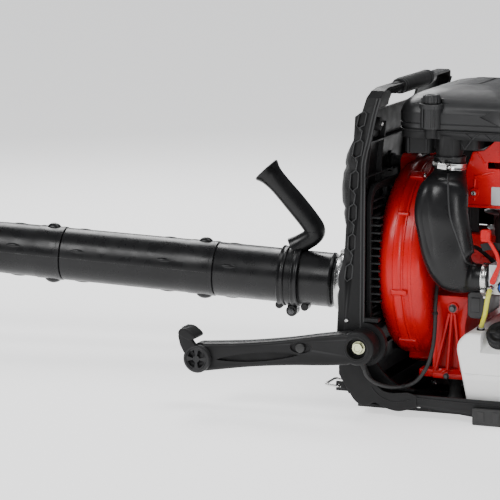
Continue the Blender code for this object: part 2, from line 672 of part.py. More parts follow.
def build_piston_and_rod():
    """Piston at the top of its stroke, and the connecting rod that hangs from it."""
    pin = Vector((CYLINDER_X, 0.0, 0.313))
    profile = [(-0.012, 0.0252), (0.016, 0.0252), (0.018, 0.0235), (0.018, 0.001), (0.013, 0.001),
               (0.013, 0.0220), (-0.012, 0.0220)]
    turned("piston", pin, Vector((0.0, 0.0, 1.0)), profile, ALLOY, sides=18, ring=True)
    big_end = Vector((CYLINDER_X, 0.0, SHAFT_Z + 0.018))
    half = Vector((0.006, 0.0, 0.0))
    conrod = sleeve("connecting_rod", big_end - half, big_end + half, 0.0120, 0.0070, STEEL, 16)
    shank = box("rod_shank", (CYLINDER_X - 0.003, -0.0045, big_end.z + 0.0095),
                (CYLINDER_X + 0.003, 0.0045, pin.z - 0.006))
    join(conrod, shank)
    join(conrod, rod("small_end", pin - half, pin + half, 0.0085, sides=14))
    cut(conrod, rod("wrist_hole", pin - half * 2, pin + half * 2, 0.0045, sides=14))


def build_cylinder_cover():
    """Red shroud over the cylinder, open underneath, with a cooling slot in its side."""
    outline = [(0.0140, 0.310), (0.1240, 0.310), (0.1240, 0.4120), (0.0620, 0.4120), (0.0440, 0.3960),
               (0.0260, 0.3930), (0.0170, 0.3700)]
    cover = prism("cylinder_cover", outline, 1, -0.090, 0.058, RED_PAINT)
    room = prism("cover_room", [(0.0165, 0.300), (0.1215, 0.300), (0.1215, 0.4095), (0.0630, 0.4095),
                                (0.0450, 0.3935), (0.0278, 0.3905), (0.0195, 0.3690)], 1, -0.0875, 0.0555)
    cut(cover, room)
    cut(cover, box("cooling_slot", (0.050, -0.10, 0.369), (0.112, -0.08, 0.378)))
    return cover


def build_ignition():
    """Spark plug in the cylinder head, and the coil beside the crankcase."""
    head = Vector((CYLINDER_X, 0.0, CRANKCASE_TOP))
    turned("spark_plug", head + Vector((0.0, 0.0, 0.096)), Vector((0.0, 0.0, 1.0)),
           [(0.0, 0.0030), (0.004, 0.0042), (0.0150, 0.0042), (0.0155, 0.0090), (0.022, 0.0090),
            (0.024, 0.0055), (0.038, 0.0045), (0.040, 0.0070), (0.046, 0.0070)], STEEL, sides=12)
    box("ignition_coil", (-0.0180, 0.0545, 0.200), (0.0220, 0.0850, 0.236), BLACK_PLASTIC)


def build_exhaust():
    """Muffler box on the cylinder's far side, with a louvred heat guard round it."""
    muffler = prism("muffler", rounded((0.025, 0.255), (0.110, 0.345), 0.012), 1, 0.0640, 0.1100, ALLOY)
    stub_end = Vector((CYLINDER_X, 0.0480, 0.2795))
    join(muffler, rod("exhaust_stub", stub_end, stub_end + Vector((0.0, 0.030, 0.0)), 0.011, sides=16))
    outlet = Vector((0.100, 0.0900, 0.270))
    cut(muffler, rod("exhaust_outlet", outlet, outlet + Vector((0.0, 0.05, 0.0)), 0.007, sides=12))
    guard = box("muffler_guard", (0.017, 0.0675, 0.247), (0.118, 0.1200, 0.353), BLACK_PLASTIC)
    cut(guard, box("guard_room", (0.0195, 0.050, 0.2495), (0.1155, 0.1175, 0.3505)))
    for i in range(4):
        z = 0.280 + 0.018 * i
        cut(guard, box(f"heat_slot_{i}", (0.030, 0.11, z), (0.105, 0.13, z + 0.008)))
    cut(guard, rod("guard_outlet", outlet, outlet + Vector((0.0, 0.05, 0.0)), 0.0085, sides=12))


def build_carburettor():
    """Carburettor body: air comes in from the duct at -X and leaves to the cylinder at +Y."""
    c = CARB_BORE
    carb = box("carburettor", (0.0745, -0.1590, 0.1935), (0.1120, -0.1150, 0.2370), ALLOY)
    join(carb, rod("carb_spigot", Vector((0.0600, c.y, c.z)), Vector((0.0760, c.y, c.z)), 0.0165, sides=20))
    cut(carb, rod("carb_inlet", Vector((0.0500, c.y, c.z)), Vector((0.1020, c.y, c.z)), 0.0110, sides=20))
    cut(carb, rod("carb_outlet", Vector((c.x, c.y, c.z)), Vector((c.x, -0.1000, c.z)), 0.0110, sides=20))
    cut(carb, rod("choke_hole", Vector((CHOKE_AXIS.x, -0.17, c.z)), Vector((CHOKE_AXIS.x, c.y, c.z)), 0.0026,
                  sides=12))
    inward = Vector((0.0, 1.0, 0.0))
    cut(carb, rod("primer_pocket", PRIMER_SEAT - inward * 0.005, PRIMER_SEAT + inward * 0.0055, 0.0090,
                  sides=12))
    cut(carb, rod("throttle_hole", Vector((THROTTLE_AXIS.x, THROTTLE_AXIS.y, c.z)),
                  Vector((THROTTLE_AXIS.x, THROTTLE_AXIS.y, 0.25)), 0.0026, sides=12))
    return carb


def build_choke_lever():
    """Lever, shaft and plate of the choke, riveted together and turning as one."""
    x = CHOKE_AXIS.x
    z = CHOKE_AXIS.z
    lever = rod("choke_lever", Vector((x, -0.1660, z)), Vector((x, -0.1310, z)), 0.0021, RED_PAINT, 10)
    join(lever, prism("choke_arm", [(x - 0.0040, z - 0.0045), (x + 0.0045, z - 0.0040), (x + 0.0125, z + 0.0250),
                                    (x + 0.0085, z + 0.0420), (x - 0.0030, z + 0.0600), (x - 0.0090, z + 0.0600),
                                    (x + 0.0030, z + 0.0410), (x + 0.0065, z + 0.0260)], 1, -0.1660, -0.1625))
    join(lever, box("choke_tab", (x - 0.0180, -0.1700, z + 0.058), (x - 0.0040, -0.1590, z + 0.076)))
    join(lever, prism("choke_plate", rounded((-0.1472, z - 0.0006), (-0.1328, z + 0.0006), 0.0005, 1), 0,
                      x - 0.0072, x + 0.0072))
    pivot(lever, Vector((x, CARB_BORE.y, z)))
    return lever


def build_throttle_valve():
    """Throttle shaft with its plate in the carburettor and a cable lever on top."""
    x = THROTTLE_AXIS.x
    y = THROTTLE_AXIS.y
    z = CARB_BORE.z
    valve = rod("throttle_valve", Vector((x, y, z - 0.004)), Vector((x, y, 0.2415)), 0.0021, STEEL, 10)
    join(valve, box("throttle_plate", (x - 0.0074, y - 0.0006, z - 0.0074), (x + 0.0074, y + 0.0006, z + 0.0074)))
    join(valve, box("throttle_horn", (x - 0.0035, y - 0.0035, 0.2385), (x + 0.0165, y + 0.0035, 0.2415)))
    pivot(valve, Vector((x, y, z)))
    return valve


def build_fuel_system():
    """Manifold, primer bulb, tank bracket, tank, cap and fuel hose."""
    port = Vector((CARB_BORE.x, -0.1145, CARB_BORE.z))
    onward = Vector((0.0, 0.075, 0.0))
    path = hermite(port, onward, Vector((CYLINDER_X, -0.0478, 0.2840)), onward, 6)
    swept("intake_manifold", path, [0.0140] * 7, RUBBER, sides=12, inner=0.0100, ends=(onward, onward))
    bulb = turned("primer_bulb", PRIMER_SEAT, Vector((0.0, -1.0, 0.0)),
                  [(0.0, 0.0084), (0.004, 0.0084), (0.008, 0.0068), (0.0105, 0.0030)], BLUE_RUBBER, sides=12)
    pivot(bulb, PRIMER_SEAT)
    prism("tank_bracket", rounded((0.034, 0.150), (0.060, 0.192), 0.005, 1), 1, -0.134, -0.0473, GREY_PLASTIC)
    build_fuel_tank()
    cap = turned("fuel_cap", CAP_SEAT + CAP_DIRECTION * 0.0065, CAP_DIRECTION,
                 [(0.0, 0.0215), (0.013, 0.0215), (0.016, 0.0185), (0.016, 0.0175), (0.017, 0.0170)],
                 BLACK_PLASTIC, sides=20)
    pivot(cap, CAP_SEAT)
    route = smooth_route([Vector((0.0780, -0.1618, 0.2020)), Vector((0.0772, -0.1665, 0.1965)),
                          Vector((0.0745, -0.1665, 0.1850)), Vector((0.0690, -0.1580, 0.1640)),
                          Vector((0.0610, -0.1440, 0.1470)), Vector((0.0560, -0.1350, 0.1372))], 3)
    swept("fuel_line", route, [0.0036] * len(route), FUEL_HOSE, sides=8, hint=Vector((0.0, 1.0, 0.0)))


def build_fuel_tank():
    outer = [(0.046, TANK_LOW), (0.184, TANK_LOW), (0.192, 0.026), (0.192, 0.124), (0.182, 0.134),
             (0.040, 0.134), (0.028, 0.120), (0.026, 0.108)]
    inner = [(0.048, TANK_LOW + 0.002), (0.183, TANK_LOW + 0.002), (0.190, 0.027), (0.190, 0.123),
             (0.181, 0.132), (0.041, 0.132), (0.030, 0.119), (0.028, 0.108)]
    tank = prism("fuel_tank", outer, 1, -0.163, 0.100, TANK_PLASTIC)
    cut(tank, prism("tank_room", inner, 1, -0.1595, 0.098))
    chamfer = prism("tank_chamfer", [(-0.17, 0.0940), (-0.17, 0.15), (-0.114, 0.15)], 0, 0.060, 0.124)
    cut(tank, chamfer)
    seat = rod("tank_neck", CAP_SEAT - CAP_DIRECTION * 0.0055, CAP_SEAT + CAP_DIRECTION * 0.006, 0.0190)
    shelf = prism("tank_shelf", [(-0.1630, 0.0985), (-0.1630, 0.1010), (-0.1300, 0.1340), (-0.1240, 0.1340),
                                 (-0.1240, 0.1300), (-0.1590, 0.0950)], 0, 0.0585, 0.1255)
    join(tank, shelf)
    join(tank, seat)
    cut(tank, rod("tank_mouth", CAP_SEAT - CAP_DIRECTION * 0.03, CAP_SEAT + CAP_DIRECTION * 0.02, 0.0130))
    return tank


def build_starter():
    """Recoil starter: housing, rope pulley, and the pull grip on its rope."""
    centre = Vector((0.0, 0.0, SHAFT_Z))
    axis = Vector((1.0, 0.0, 0.0))
    profile = [(CRANKCASE_REAR + GAP, 0.070), (0.146, 0.070), (0.154, 0.060), (0.154, 0.0050),
               (0.1510, 0.0050), (0.1510, 0.0580), (0.144, 0.0670), (CRANKCASE_REAR + GAP, 0.0670)]
    housing = turned("starter_housing", centre, axis, profile, RED_PAINT, sides=20, ring=True)
    cut(housing, rod("rope_eye", Vector((STARTER_X, -0.080, ROPE_Z)), Vector((STARTER_X, -0.04, ROPE_Z)),
                     0.0030, sides=12))
    for i in range(5):
        z = SHAFT_Z + 0.016 * (i - 2)
        cut(housing, box(f"starter_slot_{i}", (0.14, -0.034, z - 0.0035), (0.16, 0.034, z + 0.0035)))
    pulley = turned("starter_pulley", centre, axis,
                    [(STARTER_X - 0.007, 0.0300), (STARTER_X - 0.004, 0.0280), (STARTER_X + 0.004, 0.0280),
                     (STARTER_X + 0.007, 0.0300), (STARTER_X + 0.010, 0.0120), (STARTER_X + 0.016, 0.0120),
                     (STARTER_X + 0.016, 0.0060), (STARTER_X - 0.007, 0.0060)], GREY_PLASTIC, 18, ring=True)
    pivot(pulley, Vector((STARTER_X, 0.0, SHAFT_Z)))
    rope_end = Vector((STARTER_X, 0.056, ROPE_Z))
    grip = rod("starter_grip", rope_end, Vector((STARTER_X, -0.085, ROPE_Z)), 0.0020, BLACK_PLASTIC, 10)
    handle = swept("pull_handle", [Vector((STARTER_X, -0.0790, ROPE_Z)), Vector((STARTER_X, -0.0850, ROPE_Z)),
                                   Vector((STARTER_X, -0.0980, ROPE_Z)), Vector((STARTER_X, -0.1080, ROPE_Z))],
                   [0.0080, 0.0110, 0.0190, 0.0150], None, sides=14, squash=0.55)
    join(grip, handle)
    pivot(grip, Vector((STARTER_X, -0.079, ROPE_Z)))


def build_mounts():
    """Rubber mounts: two between base and engine, one between frame and fan housing."""
    for name, y in (("mount_left", -0.0900), ("mount_right", 0.0900)):
        turned(name, Vector((0.004, y, TRAY_FLOOR + GAP)), Vector((0.0, 0.0, 1.0)),
               [(0.0, 0.012), (0.010, 0.0100), (0.023, 0.0100), (0.0333, 0.012)], RUBBER, sides=16)
    turned("mount_upper", Vector((-0.1287, 0.0, 0.361)), Vector((1.0, 0.0, 0.0)),
           [(0.0, 0.012), (0.006, 0.010), (0.012, 0.010), (0.0184, 0.012)], RUBBER, sides=16)


# ---------------------------------------------------------------- air cleaner and duct
def build_cleaner_case():
    case = prism("cleaner_case", rounded((-0.080, -0.131), (0.124, 0.131), 0.03), 2, 0.4150,
                 CLEANER_SPLIT - GAP, BLACK_PLASTIC)
    deep = prism("case_deep_part", rounded((-0.070, -0.127), (-0.026, 0.127), 0.012), 2, 0.3920, 0.4160)
    join(case, deep)
    shelf = prism("case_shelf", rounded((-0.030, -0.1180), (0.0420, 0.1180), 0.010), 2, 0.3985, 0.4160)
    join(case, shelf)
    spigot_low = Vector((DUCT_TOP.x, DUCT_TOP.y, 0.3720))
    spigot_high = Vector((DUCT_TOP.x, DUCT_TOP.y, 0.4200))
    join(case, rod("case_spigot", spigot_low, spigot_high, 0.0200, sides=20))
    cut(case, rod("case_outlet", spigot_low - Vector((0.0, 0.0, 0.01)), spigot_high + Vector((0.0, 0.0, 0.02)),
                  0.0170, sides=20))
    room = prism("case_room", rounded((-0.074, -0.124), (0.118, 0.124), 0.025), 2, 0.4190, CLEANER_SPLIT + 0.01)
    cut(case, room)
    for side in (-1, 1):
        join(case, rod(f"case_boss_{side}", Vector((KNOB_X, side * KNOB_Y, 0.4160)),
                       Vector((KNOB_X, side * KNOB_Y, CLEANER_SPLIT - GAP)), 0.0100, sides=14))
    return case


def cover_outline(inset, z):
    corner = max(0.045 - inset * 0.3, 0.01)
    pairs = rounded((-0.084 + inset, -0.135 + inset), (0.128 - inset, 0.135 - inset), corner)
    return [Vector((x, y, z)) for x, y in pairs]


def build_cleaner_cover():
    """Domed cover, a shell open underneath, with a post for each of its two knobs."""
    outside = [(0.0, CLEANER_SPLIT), (0.0, 0.452), (0.005, 0.464), (0.018, 0.475), (0.042, 0.484),
               (0.075, 0.4895)]
    inside = [(0.0035, CLEANER_SPLIT), (0.0035, 0.452), (0.0085, 0.462), (0.021, 0.4720), (0.044, 0.4808),
              (0.075, 0.4860)]
    loops = [cover_outline(inset, z) for inset, z in inside[::-1]]
    loops += [cover_outline(inset, z) for inset, z in outside]
    cover = loft("cleaner_cover", loops, GREY_PLASTIC)
    for side in (-1, 1):
        low = Vector((KNOB_X, side * KNOB_Y, CLEANER_SPLIT))
        up = Vector((0.0, 0.0, 1.0))
        join(cover, rod(f"cover_post_{side}", low, low + up * 0.0370, 0.0165, sides=16))
        join(cover, rod(f"pocket_wall_{side}", low + up * 0.030, low + up * 0.0440, 0.0180, sides=16))
        cut(cover, rod(f"knob_pocket_{side}", low + up * 0.0370, low + up * 0.0600, 0.0150, sides=16))
        near = sorted((side * (KNOB_Y - 0.004), side * (KNOB_Y + 0.030)))
        cut(cover, box(f"pocket_side_{side}", (KNOB_X - 0.025, near[0], low.z + 0.0370),
                       (KNOB_X + 0.025, near[1], low.z + 0.0600)))
        cut(cover, rod(f"cover_hole_{side}", low - up * 0.01, low + up * 0.05, 0.0036, sides=10))
    return cover


def build_knob(name, side):
    """Ribbed cover knob, with its screw down through the cover's post."""
    low = Vector((KNOB_X, side * KNOB_Y, CLEANER_SPLIT + 0.0004))
    knob = turned(name, low, Vector((0.0, 0.0, 1.0)),
                  [(0.0, 0.0032), (0.0372, 0.0032), (0.0372, 0.0135), (0.0480, 0.0130), (0.0500, 0.0115)],
                  GREY_PLASTIC, sides=16)
    pivot(knob, low)
    return knob


def build_filter_element():
    filter_ring = prism("filter_element", rounded((-0.058, -0.106), (0.106, 0.106), 0.02), 2, 0.4200, 0.4600,
                        PAPER)
    cut(filter_ring, prism("filter_room", rounded((-0.036, -0.084), (0.084, 0.084), 0.012), 2, 0.41, 0.47))
    return filter_ring


def build_intake_duct():
    """Blow-moulded duct that carries clean air down the near side to the carburettor."""
    c = CARB_BORE
    down = Vector((0.0, 0.0, -1.0))
    rear = Vector((1.0, 0.0, 0.0))
    # centre, direction, half width, thickness over width
    stations = [(Vector((DUCT_TOP.x, DUCT_TOP.y, 0.3900)), down, 0.0236, 1.00),
                (Vector((DUCT_TOP.x, DUCT_TOP.y, 0.3670)), down, 0.0236, 1.00),
                (Vector((0.000, -0.1470, 0.3440)), Vector((0.0, -0.35, -1.0)), 0.0370, 0.65),
                (Vector((0.000, DUCT_Y, 0.3100)), down, 0.0410, 0.56),
                (Vector((0.006, DUCT_Y, 0.2750)), Vector((0.15, 0.0, -1.0)), 0.0410, 0.55),
                (Vector((0.0130, DUCT_Y, 0.2450)), Vector((0.3, 0.0, -1.0)), 0.0395, 0.58),
                (Vector((0.0215, -0.1550, 0.2240)), Vector((1.0, 0.1, -1.0)), 0.0345, 0.68),
                (Vector((0.0350, -0.1470, 0.2155)), Vector((1.0, 0.2, -0.35)), 0.0270, 0.85),
                (Vector((0.0480, c.y, c.z)), rear, 0.0207, 1.00),
                (Vector((0.0725, c.y, c.z)), rear, 0.0207, 1.00)]
    wall = 0.0025
    hint = Vector((0.0, 1.0, 0.0))
    outer = [flat_circle(at, way, wide, wide * flat, hint) for at, way, wide, flat in stations]
    inner = [flat_circle(at, way, wide - wall, wide * flat - wall, hint) for at, way, wide, flat in stations]
    return loft("intake_duct", outer + inner[::-1], BLACK_PLASTIC, ring=True, smooth_angle=60.0)


def flat_circle(centre, direction, wide, thick, hint, sides=16):
    side, up = across(direction, hint)
    turn = 2.0 * math.pi / sides
    return [centre + side * (wide * math.cos(turn * i)) + up * (thick * math.sin(turn * i))
            for i in range(sides)]


def build_duct_clamps():
    top = DUCT_TOP
    up = Vector((0.0, 0.0, 0.0050))
    upper = sleeve("duct_clamp_upper", top - up, top + up, 0.0256, 0.0240, STEEL, 24)
    join(upper, box("upper_clamp_lug", (top.x - 0.012, top.y - 0.0325, top.z - 0.004),
                    (top.x + 0.006, top.y - 0.0245, top.z + 0.004)))
    low = Vector((0.0655, CARB_BORE.y, CARB_BORE.z))
    along = Vector((0.0042, 0.0, 0.0))
    lower = sleeve("duct_clamp_lower", low - along, low + along, 0.0223, 0.0209, STEEL, 24)
    join(lower, box("lower_clamp_lug", (low.x - 0.0035, low.y - 0.008, low.z - 0.0285),
                    (low.x + 0.0035, low.y + 0.008, low.z - 0.0215)))


# ---------------------------------------------------------------- throttle arm
def arm_point(distance, height):
    """A point beside the arm's centre line, at a distance from the pivot towards its end."""
    along = (ARM_END - ARM_PIVOT).normalized()
    up = Vector((along.z, 0.0, -along.x))
    point = ARM_PIVOT + along * distance + up * height
    return point.x, point.z


def arm_half_outline(length):
    """Half heights of the arm above its centre line, from behind the pivot to its end."""
    hub = 0.026
    end = 0.0215
    points = []
    for i in range(5):
        angle = math.radians(30.0 * i)
        points.append((-hub * math.cos(angle), hub * math.sin(angle)))
    points += [(0.060, 0.0225), (0.110, 0.0196), (0.170, 0.0186), (0.215, 0.0198)]
    for i in range(5):
        angle = math.radians(100.0 - 25.0 * i)
        points.append((length + end * math.cos(angle), end * math.sin(angle)))
    return points


def build_hip_arm():
    """Swing-up control arm: a flat moulding with a recess for its pivot bolt."""
    length = (ARM_END - ARM_PIVOT).length
    upper = arm_half_outline(length)
    lower = [(along, -height) for along, height in upper[::-1] if height > 1e-6]
    outline = [arm_point(along, height) for along, height in upper + lower]
    arm = prism("hip_arm", outline, 1, ARM_NEAR_Y, ARM_FAR_Y, BLACK_PLASTIC)
    near = Vector((ARM_PIVOT.x, ARM_NEAR_Y, ARM_PIVOT.z))
    cut(arm, rod("bolt_recess", near - Vector((0.0, 0.005, 0.0)), near + Vector((0.0, 0.012, 0.0)), 0.0155))
    cut(arm, rod("arm_bolt_bore", near, near + Vector((0.0, 0.06, 0.0)), 0.0053, sides=16))
    x, z = arm_point(0.088, 0.0065)
    switch_at = Vector((x, ARM_NEAR_Y, z))
    cut(arm, rod("switch_pocket", switch_at - Vector((0.0, 0.005, 0.0)), switch_at + Vector((0.0, 0.007, 0.0)),
                 0.0078, sides=16))
    shaft = Vector((ARM_END.x, ARM_NEAR_Y, ARM_END.z))
    cut(arm, rod("lever_bore", shaft - Vector((0.0, 0.005, 0.0)), shaft + Vector((0.0, 0.018, 0.0)), 0.0058,
                 sides=16))
    pivot(arm, ARM_PIVOT)
    bolt = turned("arm_bolt", near + Vector((0.0, 0.0035, 0.0)), Vector((0.0, 1.0, 0.0)),
                  [(0.0, 0.0085), (0.0080, 0.0090), (0.0081, 0.0050), (0.0420, 0.0050)], ZINC, sides=12)
    pivot(bolt, ARM_PIVOT)
    switch = turned("stop_switch", switch_at + Vector((0.0, 0.0040, 0.0)), Vector((0.0, -1.0, 0.0)),
                    [(0.0, 0.0072), (0.0065, 0.0072), (0.0078, 0.0060)], RUBBER, sides=16)
    pivot(switch, switch_at)


def build_throttle_lever():
    """Round lever hub on the arm's end, with a blade and a thumb pad that stand up from it."""
    shaft = Vector((ARM_END.x, ARM_NEAR_Y, ARM_END.z))
    out = Vector((0.0, -1.0, 0.0))
    lever = turned("throttle_lever", shaft + Vector((0.0, 0.015, 0.0)), out,
                   [(0.0, 0.0055), (0.0153, 0.0055), (0.0153, 0.0215), (0.0240, 0.0215), (0.0255, 0.0198)],
                   BLACK_PLASTIC, sides=24)
    blade = [(ARM_END.x + 0.003, ARM_END.z + 0.016), (ARM_END.x - 0.019, ARM_END.z + 0.008),
             (ARM_END.x - 0.0290, ARM_END.z + 0.034), (ARM_END.x - 0.0150, ARM_END.z + 0.044)]
    join(lever, prism("lever_blade", blade, 1, ARM_NEAR_Y - 0.0100, ARM_NEAR_Y - 0.0010))
    pad = [(ARM_END.x - 0.0300, ARM_END.z + 0.0350), (ARM_END.x - 0.0120, ARM_END.z + 0.0270),
           (ARM_END.x - 0.0010, ARM_END.z + 0.0330), (ARM_END.x - 0.0130, ARM_END.z + 0.0440),
           (ARM_END.x - 0.0240, ARM_END.z + 0.0465)]
    join(lever, prism("lever_pad", pad, 1, ARM_NEAR_Y - 0.0105, ARM_NEAR_Y + 0.0260))
    pivot(lever, ARM_END)
    return lever


def build_throttle_cable():
    """Sheathed cable from the arm's pivot, over the base's rim and up to the carburettor."""
    route = [Vector((-0.1085, -0.1880, 0.0775)), Vector((-0.1040, -0.1850, 0.0620)),
             Vector((-0.0880, -0.1800, 0.0500)), Vector((-0.0640, -0.1680, 0.0445)),
             Vector((-0.0400, -0.1560, 0.0510)), Vector((-0.0250, -0.1440, 0.0720)),
             Vector((-0.0190, -0.1330, 0.1000)), Vector((-0.0190, -0.1220, 0.1320)),
             Vector((-0.0215, -0.1120, 0.1700)), Vector((-0.0200, -0.0960, 0.2100)),
             Vector((-0.0020, -0.0870, 0.2420)), Vector((0.0300, -0.0900, 0.2500)),
             Vector((0.0540, -0.1060, 0.2420)), Vector((0.0715, -0.1190, 0.2330))]
    points = smooth_route(route, 2)
    return swept("throttle_cable", points, [0.0030] * len(points), RUBBER, sides=8,
                 hint=Vector((1.0, 0.3, 0.1)))


# ---------------------------------------------------------------- assembly
def main():
    clear_scene()
    build_back_frame()
    build_intake_guard()
    build_base_frame()
    build_rear_foot("foot_left", -1)
    build_rear_foot("foot_right", 1)
    build_handle_grip()
    build_pad("upper_pad", 0.246, 0.420, 0.120, 0.034)
    build_pad("lumbar_pad", 0.125, 0.236, 0.150, 0.018)
    build_strap_loop("strap_loop_left", -1)
    build_strap_loop("strap_loop_right", 1)
    build_volute()
    build_impeller()
    build_elbow()
    build_hose_bellows()
    build_hose_clamp("hose_clamp_rear", HOSE_START + Vector((-0.006, 0.0, 0.0)), Vector((1.0, 0.0, 0.0)))
    build_hose_clamp("hose_clamp_front", on_tube(-0.0125), tube_direction())
    build_tube()
    build_tube_grip()
    build_crankcase()
    build_crankshaft()
    build_cylinder()
    build_piston_and_rod()
    build_cylinder_cover()
    build_ignition()
    build_exhaust()
    build_carburettor()
    build_choke_lever()
    build_throttle_valve()
    build_fuel_system()
    build_starter()
    build_mounts()
    build_cleaner_case()
    build_cleaner_cover()
    build_knob("knob_left", -1)
    build_knob("knob_right", 1)
    build_filter_element()
    build_intake_duct()
    build_duct_clamps()
    build_hip_arm()
    build_throttle_lever()
    build_throttle_cable()


main()
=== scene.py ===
import json
import math

import bmesh
import bpy
from mathutils import Matrix, Vector

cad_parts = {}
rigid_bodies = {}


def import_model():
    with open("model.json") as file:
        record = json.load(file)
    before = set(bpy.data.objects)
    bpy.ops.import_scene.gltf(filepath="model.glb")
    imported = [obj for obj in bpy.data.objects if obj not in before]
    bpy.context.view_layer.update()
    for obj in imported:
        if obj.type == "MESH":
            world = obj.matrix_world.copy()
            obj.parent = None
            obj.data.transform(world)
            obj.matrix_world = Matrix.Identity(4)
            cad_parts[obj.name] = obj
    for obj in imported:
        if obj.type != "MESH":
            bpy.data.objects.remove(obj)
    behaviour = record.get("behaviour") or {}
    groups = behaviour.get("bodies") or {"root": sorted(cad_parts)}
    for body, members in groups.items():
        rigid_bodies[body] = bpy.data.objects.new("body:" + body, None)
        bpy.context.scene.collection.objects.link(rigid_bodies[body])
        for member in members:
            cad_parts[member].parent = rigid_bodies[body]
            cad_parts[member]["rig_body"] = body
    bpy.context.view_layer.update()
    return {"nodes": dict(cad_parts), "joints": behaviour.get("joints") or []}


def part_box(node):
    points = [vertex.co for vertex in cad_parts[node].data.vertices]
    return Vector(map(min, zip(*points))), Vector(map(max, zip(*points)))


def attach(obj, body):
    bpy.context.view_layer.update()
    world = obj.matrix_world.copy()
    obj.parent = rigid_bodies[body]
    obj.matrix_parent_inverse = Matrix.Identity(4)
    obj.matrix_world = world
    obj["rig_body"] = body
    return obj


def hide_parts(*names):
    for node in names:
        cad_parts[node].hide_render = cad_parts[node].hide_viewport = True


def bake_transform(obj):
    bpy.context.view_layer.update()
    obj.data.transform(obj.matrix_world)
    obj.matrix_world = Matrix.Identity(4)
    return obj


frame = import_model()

JOINTS = {joint["name"]: joint for joint in frame["joints"]}
UP = Vector((0.0, 0.0, 1.0))
BACK = Vector((1.0, 0.0, 0.0))
RIGHT = Vector((0.0, 1.0, 0.0))
ROUND = 64                        # sides of a large round piece


def joint_point(name):
    """Where a joint sits at rest."""
    return Vector(JOINTS[name]["pos_m"])


def joint_axis(name):
    """Unit direction of a joint's axis."""
    return Vector(JOINTS[name]["axis"]).normalized()


SHAFT = joint_point("crank_turn")
TUBE_START = joint_point("tube_swivel")
TUBE_AXIS = joint_axis("tube_swivel")
ARM_PIVOT = joint_point("arm_swing")
ARM_END = joint_point("throttle_lever_turn")
CAP_SEAT = joint_point("fuel_cap_turn")
CAP_AXIS = joint_axis("fuel_cap_turn")


# ---------------------------------------------------------------- materials
def shade_tree(name):
    """A new node material, with its tree and its main shader."""
    mat = bpy.data.materials.new(name)
    mat.use_nodes = True
    tree = mat.node_tree
    return mat, tree, tree.nodes["Principled BSDF"]


def add(tree, kind, **values):
    """Add a node, with its properties and, for the names in capitals, its input values."""
    node = tree.nodes.new(kind)
    for key, value in values.items():
        if key[0].isupper():
            node.inputs[key.replace("_", " ")].default_value = value
        else:
            setattr(node, key, value)
    return node


def object_noise(tree, scale, detail=2.0, stretch=(1.0, 1.0, 1.0)):
    """Noise in the object's own space, so that it moves with the piece."""
    coords = add(tree, "ShaderNodeTexCoord")
    mapping = add(tree, "ShaderNodeMapping")
    mapping.inputs["Scale"].default_value = stretch
    field = add(tree, "ShaderNodeTexNoise", Scale=scale, Detail=detail)
    tree.links.new(coords.outputs["Object"], mapping.inputs["Vector"])
    tree.links.new(mapping.outputs["Vector"], field.inputs["Vector"])
    return field.outputs["Fac"]


def remap(tree, value, low, high, start=0.3, end=0.7):
    """Map a value's run from start to end onto low to high."""
    node = add(tree, "ShaderNodeMapRange")
    node.inputs["From Min"].default_value = start
    node.inputs["From Max"].default_value = end
    node.inputs["To Min"].default_value = low
    node.inputs["To Max"].default_value = high
    tree.links.new(value, node.inputs["Value"])
    return node.outputs["Result"]


def blend_colours(tree, factor, first, second):
    """Mix two colours, each a tuple or another node's output."""
    mix = add(tree, "ShaderNodeMix", data_type="RGBA")
    tree.links.new(factor, mix.inputs["Factor"])
    for socket, colour in ((mix.inputs["A"], first), (mix.inputs["B"], second)):
        if isinstance(colour, tuple):
            socket.default_value = (*colour, 1.0)
        else:
            tree.links.new(colour, socket)
    return mix.outputs["Result"]


def bump(tree, height, strength, distance, below=None):
    """Normal from a height, laid over another bump if one is given."""
    node = add(tree, "ShaderNodeBump", Strength=strength, Distance=distance)
    tree.links.new(height, node.inputs["Height"])
    if below is not None:
        tree.links.new(below, node.inputs["Normal"])
    return node.outputs["Normal"]


def edge_mask(tree, low=0.52, high=0.62):
    """1 on outward edges, and 0 on flat and hollow places."""
    geometry = add(tree, "ShaderNodeNewGeometry")
    return remap(tree, geometry.outputs["Pointiness"], 0.0, 1.0, low, high)


def scaled(colour, factor):
    """A colour times a factor, kept at 1 or below."""
    return tuple(min(part * factor, 1.0) for part in colour)


def surface(name, colour, rough, spread=0.15, patch=18.0, grain=900.0, grain_depth=0.12, worn=1.5,
            coat=0.0, metallic=0.0, stretch=(1.0, 1.0, 1.0), rough_spread=0.07, shine=0.5):
    """A finished surface: patchy colour, uneven gloss, fine grain and edges that have worn."""
    mat, tree, shader = shade_tree(name)
    patches = remap(tree, object_noise(tree, patch, 4.0), 0.0, 1.0)
    base = blend_colours(tree, patches, scaled(colour, 1.0 - spread), scaled(colour, 1.0 + spread))
    if worn != 1.0:
        base = blend_colours(tree, edge_mask(tree), base, scaled(colour, worn))
    tree.links.new(base, shader.inputs["Base Color"])
    smear = object_noise(tree, patch * 2.7, 3.0, stretch)
    gloss = remap(tree, smear, max(rough - rough_spread, 0.02), rough + rough_spread)
    tree.links.new(gloss, shader.inputs["Roughness"])
    fine = object_noise(tree, grain, 2.0, stretch)
    tree.links.new(bump(tree, fine, grain_depth, 0.0004), shader.inputs["Normal"])
    shader.inputs["Metallic"].default_value = metallic
    shader.inputs["Coat Weight"].default_value = coat
    shader.inputs["Specular IOR Level"].default_value = shine
    shader.inputs["Coat Roughness"].default_value = 0.12
    return mat


